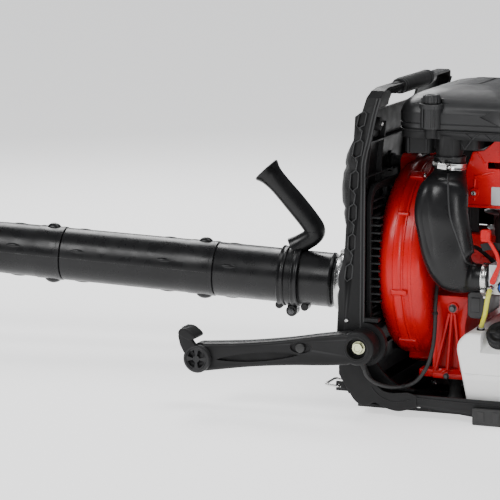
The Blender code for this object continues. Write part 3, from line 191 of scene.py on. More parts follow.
def woven(name, colour, threads=520.0):
    """Padded spacer fabric: two crossing thread directions with a soft sheen."""
    mat, tree, shader = shade_tree(name)
    coords = add(tree, "ShaderNodeTexCoord")
    heights = []
    for direction in ("Y", "Z"):
        bands = add(tree, "ShaderNodeTexWave", wave_type="BANDS", bands_direction=direction,
                    Scale=threads / 6.3)
        bands.inputs["Distortion"].default_value = 0.6
        tree.links.new(coords.outputs["Object"], bands.inputs["Vector"])
        heights.append(bands.outputs["Fac"])
    weave = add(tree, "ShaderNodeMath", operation="MULTIPLY")
    tree.links.new(heights[0], weave.inputs[0])
    tree.links.new(heights[1], weave.inputs[1])
    base = blend_colours(tree, weave.outputs["Value"], scaled(colour, 0.55), scaled(colour, 1.5))
    fade = remap(tree, object_noise(tree, 14.0, 4.0), 0.0, 0.5)
    base = blend_colours(tree, fade, base, scaled(colour, 1.9))
    tree.links.new(base, shader.inputs["Base Color"])
    tree.links.new(bump(tree, weave.outputs["Value"], 0.5, 0.0006), shader.inputs["Normal"])
    shader.inputs["Roughness"].default_value = 0.88
    shader.inputs["Sheen Weight"].default_value = 0.25
    return mat


def tank_plastic(name, colour):
    """Blow-moulded natural plastic, a little darker below the fuel's level."""
    mat, tree, shader = shade_tree(name)
    coords = add(tree, "ShaderNodeTexCoord")
    split = add(tree, "ShaderNodeSeparateXYZ")
    tree.links.new(coords.outputs["Object"], split.inputs["Vector"])
    level = remap(tree, split.outputs["Z"], 0.0, 1.0, 0.062, 0.066)
    base = blend_colours(tree, level, scaled(colour, 0.93), colour)
    cloud = remap(tree, object_noise(tree, 30.0, 3.0), 0.0, 0.35)
    base = blend_colours(tree, cloud, base, scaled(colour, 0.95))
    tree.links.new(base, shader.inputs["Base Color"])
    tree.links.new(remap(tree, object_noise(tree, 60.0), 0.28, 0.42), shader.inputs["Roughness"])
    tree.links.new(bump(tree, object_noise(tree, 160.0), 0.08, 0.0006), shader.inputs["Normal"])
    shader.inputs["Subsurface Weight"].default_value = 0.15
    shader.inputs["Subsurface Radius"].default_value = (0.012, 0.012, 0.012)
    return mat


BLACK = (0.0095, 0.0095, 0.0098)
LOOKS = {
    "black": (surface("black_moulding", BLACK, 0.46, worn=2.6, shine=0.20), "black_plastic"),
    "gloss": (surface("blown_black_plastic", (0.0085, 0.0085, 0.0090), 0.30, worn=1.6, grain=500.0,
                      grain_depth=0.05, shine=0.28), "black_plastic"),
    "grey": (surface("grey_moulding", (0.0170, 0.0172, 0.0178), 0.42, worn=1.9, shine=0.40), "grey_plastic"),
    "red": (surface("red_paint", (0.520, 0.0015, 0.0030), 0.30, spread=0.10, worn=1.15, grain=240.0,
                    grain_depth=0.05, coat=0.08, shine=0.30), "red_paint"),
    "cast": (surface("painted_casting", (0.470, 0.0015, 0.0030), 0.36, spread=0.12, worn=1.15, grain=320.0,
                     grain_depth=0.22, coat=0.06, shine=0.30), "red_cast"),
    "rubber": (surface("black_rubber", (0.016, 0.016, 0.016), 0.62, grain=1400.0, grain_depth=0.25,
                       worn=1.8), "rubber"),
    "steel": (surface("plated_steel", (0.60, 0.60, 0.59), 0.24, spread=0.08, grain=700.0, metallic=1.0,
                      worn=1.1, grain_depth=0.10, stretch=(1.0, 1.0, 6.0)), "steel"),
    "alloy": (surface("cast_alloy", (0.46, 0.46, 0.47), 0.46, spread=0.14, grain=420.0, metallic=1.0,
                      worn=1.3, grain_depth=0.30), "alloy"),
    "zinc": (surface("yellow_zinc", (0.74, 0.76, 0.50), 0.30, spread=0.12, grain=600.0, metallic=0.75,
                     worn=1.1), "zinc"),
    "dark_steel": (surface("blackened_steel", (0.050, 0.050, 0.052), 0.36, grain=600.0, metallic=0.8,
                           worn=3.0), "steel"),
    "blue": (surface("blue_bulb", (0.012, 0.070, 0.360), 0.25, worn=1.3, grain_depth=0.03), "blue_rubber"),
    "hose": (surface("fuel_hose", (0.58, 0.56, 0.05), 0.28, spread=0.08, worn=1.1, grain_depth=0.04),
             "fuel_hose"),
    "paper": (surface("filter_paper", (0.60, 0.50, 0.30), 0.85, worn=1.1, grain=500.0), "paper"),
    "plate": (surface("blank_plate", (0.52, 0.53, 0.54), 0.38, spread=0.05, worn=1.0, grain_depth=0.03,
                      metallic=0.4), "steel"),
    "fabric": (woven("pad_fabric", (0.0120, 0.0120, 0.0128)), "foam"),
    "piping": (surface("pad_piping", (0.0160, 0.0160, 0.0168), 0.70, worn=1.3, grain=1800.0,
                       grain_depth=0.4), "foam"),
    "tank": (tank_plastic("tank_moulding", (0.90, 0.90, 0.885)), "tank_plastic"),
}


# ---------------------------------------------------------------- mesh helpers
def make_object(name, bm):
    """Linked object from a bmesh, with its faces turned outward."""
    bmesh.ops.recalc_face_normals(bm, faces=bm.faces[:])
    mesh = bpy.data.meshes.new(name)
    bm.to_mesh(mesh)
    bm.free()
    obj = bpy.data.objects.new(name, mesh)
    bpy.context.scene.collection.objects.link(obj)
    shade(obj)
    return obj


def shade(obj, angle=38.0):
    """Smooth shading that keeps edges over the angle crisp."""
    obj.data.shade_smooth()
    obj.data.set_sharp_from_angle(angle=math.radians(angle))


def settle(obj):
    """Turn an object's modifiers into its mesh."""
    graph = bpy.context.evaluated_depsgraph_get()
    mesh = bpy.data.meshes.new_from_object(obj.evaluated_get(graph))
    obj.modifiers.clear()
    obj.data = mesh


def soften(obj, width, segments=2, angle=30.0):
    """Round the sharp edges, as a mould does, and keep the flats flat in shading."""
    bevel = obj.modifiers.new("round_edges", "BEVEL")
    bevel.width = width
    bevel.segments = segments
    bevel.limit_method = "ANGLE"
    bevel.angle_limit = math.radians(angle)
    settle(obj)
    shade(obj)
    weight = obj.modifiers.new("flat_faces", "WEIGHTED_NORMAL")
    weight.keep_sharp = True
    settle(obj)
    return obj


def subdivide(obj, levels=1):
    """Smooth a cage into a curved surface."""
    smooth = obj.modifiers.new("smooth", "SUBSURF")
    smooth.levels = levels
    smooth.render_levels = levels
    settle(obj)
    obj.data.shade_smooth()
    return obj


def boolean(target, tool, operation):
    """Apply one exact Boolean to the target and remove the tool."""
    step = target.modifiers.new("shape", "BOOLEAN")
    step.operation = operation
    step.object = tool
    step.solver = "EXACT"
    settle(target)
    bpy.data.objects.remove(tool, do_unlink=True)
    return target


def cut(target, tool):
    """Take the tool's shape out of the target."""
    return boolean(target, tool, "DIFFERENCE")


def join(target, tool):
    """Add the tool's shape to the target."""
    return boolean(target, tool, "UNION")


def merge(name, parts):
    """Gather several closed shapes into one piece."""
    bm = bmesh.new()
    for part in parts:
        bm.from_mesh(part.data)
        bpy.data.objects.remove(part, do_unlink=True)
    mesh = bpy.data.meshes.new(name)
    bm.to_mesh(mesh)
    bm.free()
    obj = bpy.data.objects.new(name, mesh)
    bpy.context.scene.collection.objects.link(obj)
    shade(obj)
    return obj


def skin(name, loops, ring=False):
    """Faces between equal loops of points; a ring joins the last loop to the first."""
    bm = bmesh.new()
    rows = [[bm.verts.new(point) for point in loop] for loop in loops]
    pairs = list(zip(rows, rows[1:]))
    if ring:
        pairs.append((rows[-1], rows[0]))
    for low, high in pairs:
        for i in range(len(low)):
            j = (i + 1) % len(low)
            bm.faces.new((low[i], low[j], high[j], high[i]))
    if not ring:
        bm.faces.new(rows[0])
        bm.faces.new(rows[-1])
    return make_object(name, bm)


def across(direction, hint=UP):
    """Two unit directions, square to the given one and to each other."""
    direction = direction.normalized()
    side = hint.cross(direction)
    if side.length < 1e-6:
        side = BACK.cross(direction)
    side.normalize()
    return side, direction.cross(side)


def circle(centre, direction, radius, sides=ROUND, hint=UP, squash=1.0, shape=None):
    """A loop round a point. shape gives a factor on the radius for each angle."""
    side, up = across(direction, hint)
    loop = []
    for i in range(sides):
        angle = 2.0 * math.pi * i / sides
        reach = radius * (shape(angle) if shape else 1.0)
        loop.append(centre + side * (reach * squash * math.cos(angle)) + up * (reach * math.sin(angle)))
    return loop


def turned(name, start, direction, profile, sides=ROUND, ring=False):
    """Revolve (distance along, radius) or (distance, radius, shape) rows about an axis."""
    direction = direction.normalized()
    loops = [circle(start + direction * row[0], direction, row[1], sides, shape=(*row, None)[2])
             for row in profile]
    return skin(name, loops, ring)


def rod(name, start, end, radius, sides=32):
    """Straight round bar between two points."""
    return turned(name, start, end - start, [(0.0, radius), ((end - start).length, radius)], sides)


def band(name, start, end, outer, inner, sides=ROUND):
    """Straight sleeve between two points."""
    length = (end - start).length
    return turned(name, start, end - start, [(0.0, outer), (length, outer), (length, inner), (0.0, inner)],
                  sides, ring=True)


def hexagon(angle):
    """Radius of a hexagon over its corner radius, at an angle."""
    within = (angle % (math.pi / 3)) - math.pi / 6
    return math.cos(math.pi / 6) / math.cos(within)


def swept(name, path, radii, sides=32, inner=None, squash=1.0, hint=UP, ends=None):
    """Round or flattened section along a path, hollow if inner is given."""
    ways = [path[min(i + 1, len(path) - 1)] - path[max(i - 1, 0)] for i in range(len(path))]
    if ends:
        ways[0], ways[-1] = ends
    loops = [circle(point, way, radius, sides, hint, squash) for point, way, radius in zip(path, ways, radii)]
    if inner is None:
        return skin(name, loops)
    loops += [circle(point, way, inner, sides, hint, squash) for point, way in zip(path[::-1], ways[::-1])]
    return skin(name, loops, ring=True)


def prism(name, outline, axis, low, high):
    """Flat outline carried from low to high along one axis."""
    def lift(pair, level):
        values = list(pair)
        values.insert(axis, level)
        return Vector(values)
    return skin(name, [[lift(pair, level) for pair in outline] for level in (low, high)])


def box(name, low, high):
    """Block between two corners, to be joined or cut."""
    return prism(name, [(low[0], low[1]), (high[0], low[1]), (high[0], high[1]), (low[0], high[1])], 2,
                 low[2], high[2])


def block(name, centre, size, turn=None):
    """A box about a centre, turned by a matrix of three directions when one is given."""
    half = Vector(size) / 2
    obj = box(name, -half, half)
    if turn is not None:
        obj.data.transform(turn.to_4x4())
    obj.data.transform(Matrix.Translation(centre))
    return obj


def rounded(low, high, radius, steps=6):
    """Outline of a rectangle with rounded corners."""
    corners = [(high[0] - radius, high[1] - radius, 0.0), (low[0] + radius, high[1] - radius, 90.0),
               (low[0] + radius, low[1] + radius, 180.0), (high[0] - radius, low[1] + radius, 270.0)]
    points = []
    for x, y, start in corners:
        for i in range(steps + 1):
            angle = math.radians(start + 90.0 * i / steps)
            points.append((x + radius * math.cos(angle), y + radius * math.sin(angle)))
    return points


def hermite(start, pull_out, end, pull_in, steps):
    """Points of a curve with a given pull at each end."""
    points = []
    for i in range(steps + 1):
        t = i / steps
        points.append(start * (2 * t**3 - 3 * t**2 + 1) + pull_out * (t**3 - 2 * t**2 + t)
                      + end * (-2 * t**3 + 3 * t**2) + pull_in * (t**3 - t**2))
    return points


def smooth_route(points, steps):
    """A smooth curve through points, which may be vectors or numbers."""
    route = []
    for i in range(len(points) - 1):
        before = points[max(i - 1, 0)]
        after = points[min(i + 2, len(points) - 1)]
        route += hermite(points[i], (points[i + 1] - before) * 0.5, points[i + 1],
                         (after - points[i]) * 0.5, steps)[:-1]
    return route + [points[-1]]


def refine(node, width, segments=2, angle=30.0):
    """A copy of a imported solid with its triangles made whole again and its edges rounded."""
    bm = bmesh.new()
    bm.from_mesh(frame["nodes"][node].data)
    bmesh.ops.remove_doubles(bm, verts=bm.verts[:], dist=1e-5)
    bmesh.ops.dissolve_limit(bm, angle_limit=math.radians(0.6), verts=bm.verts[:], edges=bm.edges[:])
    obj = make_object(f"{node}_body", bm)
    return soften(obj, width, segments, angle)


# ---------------------------------------------------------------- placing
def home(node):
    """Body that a node moves with."""
    return frame["nodes"][node]["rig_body"]


def dress(piece, look, *nodes, body=None):
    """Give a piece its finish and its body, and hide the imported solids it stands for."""
    material, slot_name = LOOKS[look]
    piece.data.materials.clear()
    piece.data.materials.append(material)
    if nodes:
        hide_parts(*nodes)
    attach(piece, body or home(nodes[0]))
    return piece


def socket_screw(name, at, outward, radius, height=None):
    """A round-headed screw with a hexagonal socket, from its seat outwards."""
    height = height or radius * 0.9
    rows = [(-0.001, radius), (height * 0.7, radius), (height, radius * 0.82),
            (height, radius * 0.52, hexagon), (height * 0.35, radius * 0.50, hexagon)]
    return soften(turned(name, at, outward, rows, 24), radius * 0.06, 1, 50.0)


def hex_bolt(name, at, outward, radius):
    """A bolt head with a round flange under its hexagon."""
    rows = [(-0.001, radius * 1.35), (radius * 0.22, radius * 1.35), (radius * 0.36, radius, hexagon),
            (radius * 1.05, radius, hexagon), (radius * 1.18, radius * 0.80)]
    return turned(name, at, outward, rows, 36)


def worm_clamp(name, centre, axis, radius, width, screw_way, thickness=0.0009):
    """A hose clamp: a band with rolled edges, its slots, its screw housing and the screw."""
    axis = axis.normalized()
    half = width / 2
    lip = radius + thickness
    rows = [(-half, lip + 0.0005), (-half * 0.82, lip + 0.0005), (-half * 0.72, lip), (half * 0.72, lip),
            (half * 0.82, lip + 0.0005), (half, lip + 0.0005), (half, radius), (-half, radius)]
    parts = [turned(f"{name}_band", centre, axis, rows, 72, ring=True)]
    screw_way = screw_way.normalized()
    tangent = axis.cross(screw_way).normalized()
    turn = Matrix((tangent, axis, screw_way)).transposed()
    seat = centre + screw_way * (lip + 0.0026)
    parts.append(soften(block(f"{name}_housing", seat, (0.0150, width * 1.02, 0.0058), turn), 0.0014, 2))
    start = seat + tangent * 0.0070 + screw_way * 0.0006
    parts.append(turned(f"{name}_screw", start, tangent,
                        [(0.0, 0.0022), (0.0020, 0.0022), (0.0021, 0.0040, hexagon),
                         (0.0058, 0.0040, hexagon),
                         (0.0062, 0.0032), (0.0062, 0.0012), (0.0045, 0.0010)], 24))
    for i in range(7):
        angle = math.radians(24.0 + 8.5 * i)
        way = screw_way * math.cos(angle) - tangent * math.sin(angle)
        slot_turn = Matrix((axis.cross(way).normalized(), axis, way)).transposed()
        parts.append(block(f"{name}_slot_{i}", centre + way * lip, (0.0012, width * 0.5, 0.0007), slot_turn))
    return merge(name, parts)


# ---------------------------------------------------------------- back frame
FRAME_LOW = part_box("back_frame")[0]
FRAME_SIDE = min(-FRAME_LOW.y, 0.175)      # outer face of the frame's side walls
# height, front X and rear X of the side walls
FRAME_EDGE = [(0.0520, -0.1455, -0.113), (0.1200, -0.156, -0.115), (0.2000, -0.152, -0.115),
              (0.2500, -0.144, -0.115), (0.3300, -0.140, -0.115), (0.3800, -0.136, -0.114),
              (0.4150, -0.131, -0.106), (0.4480, -0.129, -0.099), (0.4760, -0.1125, -0.091)]


def frame_edges(height):
    """Front and rear X of the frame's side wall at a height."""
    for (z0, a0, b0), (z1, a1, b1) in zip(FRAME_EDGE, FRAME_EDGE[1:]):
        if z0 <= height <= z1:
            t = (height - z0) / (z1 - z0)
            return a0 + (a1 - a0) * t, b0 + (b1 - b0) * t
    return FRAME_EDGE[-1][1:]


def bead(name, path, radius, sides=10):
    """Round bead of one thickness along a path."""
    return swept(name, path, [radius] * len(path), sides, hint=RIGHT)


def lattice_cells():
    """Middle height, half height and half width of the six-sided pockets in the side walls."""
    return [(0.4440, 0.0120, 0.0052), (0.4005, 0.0135, 0.0062), (0.3530, 0.0150, 0.0055),
            (0.3045, 0.0135, 0.0050), (0.2600, 0.0130, 0.0048), (0.2150, 0.0130, 0.0048)]


def cell_centre(height):
    """X of the side pockets' middle line at a height."""
    front, rear = frame_edges(height)
    return front + (rear - front) * 0.36


def cell_outline(height, half_height, half_width, grow=0.0):
    """Six-cornered outline of a side pocket, which leans with the frame."""
    x = cell_centre(height)
    tall = half_height + grow
    wide = half_width + grow
    lean = (cell_centre(height + 0.01) - cell_centre(height - 0.01)) / 0.02
    points = [(0.25 * wide, tall), (wide, tall * 0.72), (wide, -tall * 0.62), (-0.25 * wide, -tall),
              (-wide, -tall * 0.72), (-wide, tall * 0.62)]
    return [(x + dx + lean * dz, height + dz) for dx, dz in points]


def build_frame():
    shell = refine("back_frame", 0.0016, 3)
    trims = []
    for side in (-1, 1):
        wall = side * FRAME_SIDE
        for i, (z, tall, wide) in enumerate(lattice_cells()):
            levels = sorted((wall - side * 0.0034, wall + side * 0.01))
            cut(shell, prism(f"pocket_{side}_{i}", cell_outline(z, tall, wide), 1, *levels))
            ring = [Vector((x, wall, z1)) for x, z1 in cell_outline(z, tall, wide, 0.0006)]
            ring.append(ring[0])
            trims.append(bead(f"pocket_rim_{side}_{i}", ring, 0.0011))
        cells = lattice_cells()
        for i, (upper, lower) in enumerate(zip(cells, cells[1:])):
            top = cell_outline(*upper)[3]
            bottom = cell_outline(*lower)[0]
            middle_z = (top[1] + bottom[1]) / 2
            middle = (cell_centre(middle_z) + 0.0035, middle_z + 0.004)
            route = [Vector((x, wall, z)) for x, z in (top, middle, bottom)]
            trims.append(bead(f"zigzag_{side}_{i}", route, 0.0010))
        rim = [Vector((rear - 0.0035, wall - side * 0.0002, z)) for z, _, rear in FRAME_EDGE]
        trims.append(bead(f"wall_bead_{side}", smooth_route(rim, 5), 0.0014))
        lip = [Vector((rear + 0.0004, wall - side * 0.0022, z)) for z, _, rear in FRAME_EDGE]
        trims.append(bead(f"rear_lip_{side}", smooth_route(lip, 5), 0.0021))
    dress(shell, "black", "back_frame")
    dress(merge("frame_trim", trims), "grey", body="root")


def build_frame_ribs():
    """Stiffening ribs and screw bosses on the frame's inner face."""
    ribs = []
    for z in (0.075, 0.150, 0.232, 0.300, 0.352, 0.404):
        front, _ = frame_edges(z)
        ribs.append(block(f"level_rib_{z}", Vector((front + 0.0075, 0.0, z)), (0.011, 0.338, 0.0024)))
    for y in (-0.122, -0.062, 0.062, 0.122):
        loops = []
        for z in (0.055, 0.120, 0.200, 0.250, 0.330, 0.380, 0.430):
            front, _ = frame_edges(z)
            low, high = front + 0.002, front + 0.012
            loops.append([Vector((low, y - 0.0012, z)), Vector((high, y - 0.0012, z)),
                          Vector((high, y + 0.0012, z)), Vector((low, y + 0.0012, z))])
        ribs.append(skin(f"upright_rib_{y}", loops))
    for side in (-1, 1):
        front, _ = frame_edges(0.432)
        seat = Vector((front + 0.002, side * 0.118, 0.432))
        ribs.append(soften(rod(f"top_boss_{side}", seat, seat + BACK * 0.020, 0.010), 0.0015))
        corner = Vector((-0.1190, side * 0.1675, 0.1440))
        ribs.append(soften(block(f"corner_web_{side}", corner, (0.055, 0.0130, 0.006)), 0.0012))
    dress(merge("frame_ribs", ribs), "black", body="root")
    screws = []
    for side in (-1, 1):
        front, _ = frame_edges(0.432)
        screws.append(socket_screw(f"boss_screw_{side}", Vector((front + 0.022, side * 0.118, 0.432)), BACK,
                                   0.0036))
        screws.append(socket_screw(f"bracket_screw_{side}", Vector((-0.1400, side * FRAME_SIDE, 0.1420)),
                                   RIGHT * side, 0.0030))
    dress(merge("frame_screws", screws), "steel", body="root")


def build_handle_grip():
    low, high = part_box("handle_grip")
    x = (low.x + high.x) / 2
    z = high.z - 0.0127
    start = Vector((x, low.y, z))
    length = high.y - low.y
    rows = [(0.0, 0.0090), (0.0, 0.0112), (0.002, 0.0124), (0.008, 0.0124), (0.010, 0.0114)]
    count = 16
    for i in range(count):
        along = 0.012 + (length - 0.024) * i / (count - 1)
        rows.append((along, 0.0124 if i % 2 else 0.0117))
    rows += [(length - row[0], row[1]) for row in rows[:5][::-1]]
    grip = turned("handle_sleeve", start, RIGHT, rows, 48, ring=True)
    dress(soften(grip, 0.0005, 2, 25.0), "rubber", "handle_grip")
    collars = []
    for side in (-1, 1):
        at = Vector((x, side * (high.y + 0.0035), z))
        collars.append(soften(band(f"handle_collar_{side}", at - RIGHT * 0.0022, at + RIGHT * 0.0022, 0.0118,
                                   0.0080, 40), 0.0008))
    dress(merge("handle_collars", collars), "grey", body="root")


def build_guard():
    """Intake guard: a frame of thin level slats, with a comb of short teeth at each side."""
    low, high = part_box("intake_guard")
    outer = rounded((low.y, low.z), (high.y, high.z), 0.030)
    guard = prism("guard_panel", outer, 0, low.x, high.x)
    room = rounded((low.y + 0.010, low.z + 0.010), (high.y - 0.010, high.z - 0.010), 0.022)
    cut(guard, prism("guard_room", room, 0, low.x - 0.01, high.x + 0.01))
    soften(guard, 0.0012)
    parts = [guard]
    pitch = 0.0115
    count = int((high.z - low.z - 0.020) / pitch)
    for i in range(count):
        z = low.z + 0.010 + pitch * (i + 0.5)
        middle = (low.x + high.x) / 2
        inset = 0.004 if 1 < i < count - 2 else 0.014
        slat = block(f"slat_{i}", Vector((middle, 0.0, z)), (0.0060, high.y - low.y - 2 * inset, 0.0026))
        parts.append(slat)
        for side in (-1, 1):
            if 2 < i < count - 2:
                tooth = Vector((high.x + 0.0065, side * (high.y - 0.0075), z))
                parts.append(block(f"tooth_{side}_{i}", tooth, (0.0150, 0.0130, 0.0026)))
    for y in (-0.075, 0.0, 0.075):
        parts.append(block(f"guard_post_{y}", Vector(((low.x + high.x) / 2, y, (low.z + high.z) / 2)),
                           (0.0064, 0.0045, high.z - low.z - 0.012)))
    dress(merge("intake_grille", parts), "black", "intake_guard")


def wave_edge(y):
    """Flowing lower edge of the base's sides, from the frame's foot to the rear."""
    points = [(-0.1520, 0.0600), (-0.1445, 0.0475), (-0.1360, 0.0340), (-0.1280, 0.0225), (-0.1200, 0.0165),
              (-0.1115, 0.0147), (-0.1040, 0.0165), (-0.0965, 0.0206), (-0.0880, 0.0180), (-0.0750, 0.0125),
              (-0.0600, 0.0100), (-0.0480, 0.0120), (-0.0350, 0.0170), (-0.0260, 0.0190), (-0.0100, 0.0180),
              (0.0100, 0.0155), (0.0570, 0.0108)]
    return smooth_route([Vector((x, y, z)) for x, z in points], 4)


def build_skirts():
    """A flowing cheek over the corner where the frame stands in the base, one on each side."""
    for side, name in ((-1, "left"), (1, "right")):
        wall = side * FRAME_SIDE
        lower = [(p.x, p.z) for p in wave_edge(wall)][:52]
        crest = [Vector((-0.0300, 0.0, 0.0350)), Vector((-0.0420, 0.0, 0.0385)),
                 Vector((-0.0560, 0.0, 0.0372)), Vector((-0.0700, 0.0, 0.0362)),
                 Vector((-0.0840, 0.0, 0.0400)), Vector((-0.0960, 0.0, 0.0520)),
                 Vector((-0.1060, 0.0, 0.0680)), Vector((-0.1120, 0.0, 0.0860)),
                 Vector((-0.1150, 0.0, 0.1060)),
                 Vector((-0.1400, 0.0, 0.1060)), Vector((-0.1520, 0.0, 0.0860))]
        upper = [(p.x, p.z) for p in smooth_route(crest, 5)]
        cheek = prism(f"cheek_{name}", lower + upper, 1,
                      *sorted((wall - side * 0.0012, wall + side * 0.0014)))
        soften(cheek, 0.0010, 3)
        line = [Vector((x, wall + side * 0.0012, z)) for x, z in upper[:41]]
        fold = smooth_route([Vector((-0.1000, wall + side * 0.0014, 0.0440)),
                             Vector((-0.0860, wall + side * 0.0014, 0.0310)),
                             Vector((-0.0640, wall + side * 0.0014, 0.0235)),
                             Vector((-0.0400, wall + side * 0.0014, 0.0290))], 6)
        parts = [cheek, bead(f"cheek_edge_{name}", line, 0.0012), bead(f"cheek_fold_{name}", fold, 0.0008)]
        dress(merge(f"corner_cheek_{name}", parts), "black", body="root")


def build_base():
    base = refine("base_frame", 0.0022, 3)
    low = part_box("base_frame")[0]
    for side in (-1, 1):
        y = sorted((side * 0.163, side * 0.190))
        wave = [(p.x, p.z) for p in wave_edge(0.0)]
        under = [(wave[0][0], low.z - 0.010)] + wave + [(wave[-1][0], low.z - 0.010)]
        cut(base, prism(f"wave_{side}", under, 1, *y))
    dress(base, "black", "base_frame")
    trims = []
    rim_z = 0.037
    for side in (-1, 1):
        wall = side * FRAME_SIDE
        path = [Vector((-0.103, wall, rim_z - 0.001)), Vector((-0.060, wall, rim_z - 0.001)),
                Vector((-0.040, wall, rim_z - 0.004)), Vector((0.050, wall, rim_z - 0.006)),
                Vector((0.190, wall, rim_z - 0.006))]
        trims.append(bead(f"base_bead_{side}", smooth_route(path, 5), 0.0014))
        for x in (-0.010, 0.045, 0.100, 0.155):
            trims.append(soften(block(f"base_rib_{side}_{x}", Vector((x, side * 0.1690, 0.0235)),
                                      (0.003, 0.006, 0.020)), 0.0006))
    for y in (-0.12, -0.06, 0.06, 0.12):
        trims.append(soften(block(f"tray_rib_{y}", Vector((0.035, y, 0.0175)), (0.26, 0.0028, 0.0042)),
                            0.0006))
    dress(merge("base_trim", trims), "black", body="root")
    bolts = []
    for side in (-1, 1):
        for x in (-0.030, 0.020, 0.150):
            bolts.append(hex_bolt(f"base_bolt_{side}_{x}", Vector((x, side * 0.158, 0.0162)), UP, 0.0042))
    for i, x in enumerate((-0.060, 0.010, 0.100)):
        bolts.append(hex_bolt(f"front_bolt_{i}", Vector((x, 0.0, 0.0162)), UP, 0.0045))
    dress(merge("base_bolts", bolts), "steel", body="root")


def build_feet():
    for name in ("foot_left", "foot_right"):
        foot = refine(name, 0.0022, 3)
        low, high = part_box(name)
        side = 1 if low.y > 0 else -1
        outer = high.y if side > 0 else low.y
        ribs = []
        for i in range(5):
            x = low.x + 0.014 + (high.x - low.x - 0.028) * i / 4
            ribs.append(soften(block(f"{name}_rib_{i}", Vector((x, outer, 0.0135)), (0.010, 0.0016, 0.016)),
                               0.0007))
        dress(merge(f"{name}_bumper", [foot] + ribs), "rubber", name)


def build_strap_loops():
    for name, joint in (("strap_loop_left", "strap_loop_left_swing"),
                        ("strap_loop_right", "strap_loop_right_swing")):
        hinge = joint_point(joint)
        low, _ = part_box(name)
        far = low.x + 0.002
        half = 0.0225
        corners = [(hinge.x, -0.004, 0.0), (hinge.x, -half, 0.0), (far, -half, 0.002), (far, half, 0.002),
                   (hinge.x, half, 0.0), (hinge.x, 0.004, 0.0)]
        spots = [Vector((x, hinge.y + dy, hinge.z + dz)) for x, dy, dz in corners]
        path = [spots[0]]
        for before, corner, after in zip(spots, spots[1:], spots[2:]):
            into = (before - corner).normalized() * 0.005
            out = (after - corner).normalized() * 0.005
            for i in range(7):
                t = i / 6
                path.append(corner + into * (1 - t) ** 2 + out * t**2)
        path.append(spots[-1])
        wire = swept(f"{name}_wire", path, [0.0020] * len(path), 14, hint=Vector((0.0, 0.13, 1.0)))
        dress(wire, "steel", name)


# ---------------------------------------------------------------- soft parts
def cloth_swell(obj, steps=20, pressure=4.0, limit=0.006):
    """Let a closed pad swell by cloth simulation, and cap how far any point goes."""
    start = [vertex.co.copy() for vertex in obj.data.vertices]
    cloth = obj.modifiers.new("swell", "CLOTH")
    settings = cloth.settings
    settings.quality = 5
    settings.mass = 0.3
    settings.use_pressure = True
    settings.uniform_pressure_force = pressure
    settings.tension_stiffness = 18.0
    settings.compression_stiffness = 18.0
    settings.bending_stiffness = 1.5
    settings.effector_weights.gravity = 0.0
    cloth.point_cache.frame_start = 1
    cloth.point_cache.frame_end = steps
    scene = bpy.context.scene
    for step in range(1, steps + 1):
        scene.frame_set(step)
    settle(obj)
    scene.frame_set(1)
    for vertex, before in zip(obj.data.vertices, start):
        move = vertex.co - before
        if move.length > limit:
            vertex.co = before + move * (limit / move.length)


def pad_body(node, shrink, voxel=0.0045):
    """The pad's own solid, a little smaller all round, as an even mesh."""
    obj = refine(node, 0.006, 4, 25.0)
    low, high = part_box(node)
    middle = (low + high) / 2
    for vertex in obj.data.vertices:
        for axis in range(3):
            half = (high[axis] - low[axis]) / 2
            vertex.co[axis] = middle[axis] + (vertex.co[axis] - middle[axis]) * (1.0 - shrink / half)
    remesh = obj.modifiers.new("even", "REMESH")
    remesh.mode = "VOXEL"
    remesh.voxel_size = voxel
    settle(obj)
    return obj


def press_channels(obj, levels, depth, width):
    """Sewn channels across a pad: its skin is drawn in along level lines on the wearer's side."""
    low_x = min(vertex.co.x for vertex in obj.data.vertices)
    for vertex in obj.data.vertices:
        front = max(0.0, min(1.0, 1.0 - (vertex.co.x - low_x) / 0.03))
        for kind, level in levels:
            gap = (vertex.co.z - level) if kind == "z" else (vertex.co.y - level)
            vertex.co.x += depth * front * math.exp(-(gap / width) ** 2)


def build_pads():
    plans = {"upper_pad": [("z", 0.300), ("z", 0.362), ("y", -0.040), ("y", 0.040)],
             "lumbar_pad": [("z", 0.180), ("y", -0.075), ("y", 0.075)]}
    for node, channels in plans.items():
        pad = pad_body(node, 0.0035)
        cloth_swell(pad)
        press_channels(pad, channels, 0.0045, 0.0040)
        subdivide(pad)
        pad.name = f"{node}_cushion"
        dress(pad, "fabric", node)
        low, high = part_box(node)
        edge = rounded((low.y + 0.001, low.z + 0.001), (high.y - 0.001, high.z - 0.001), 0.012)
        cord = [Vector((frame_edges(z)[0] - 0.0026, y, z)) for y, z in edge]
        cord.append(cord[0])
        piping = bead(f"{node}_piping", cord, 0.0030, 10)
        dress(piping, "piping", body="root")


# ---------------------------------------------------------------- fan housing and engine
FAN_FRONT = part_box("volute_front")[0].x
FAN_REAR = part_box("volute_rear")[1].x
FAN_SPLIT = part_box("volute_front")[1].x
FAN_RADIUS = 0.152


def radial(angle):
    """Direction square to the shaft, at an angle in degrees from +Y towards +Z."""
    turn = math.radians(angle)
    return Vector((0.0, math.cos(turn), math.sin(turn)))


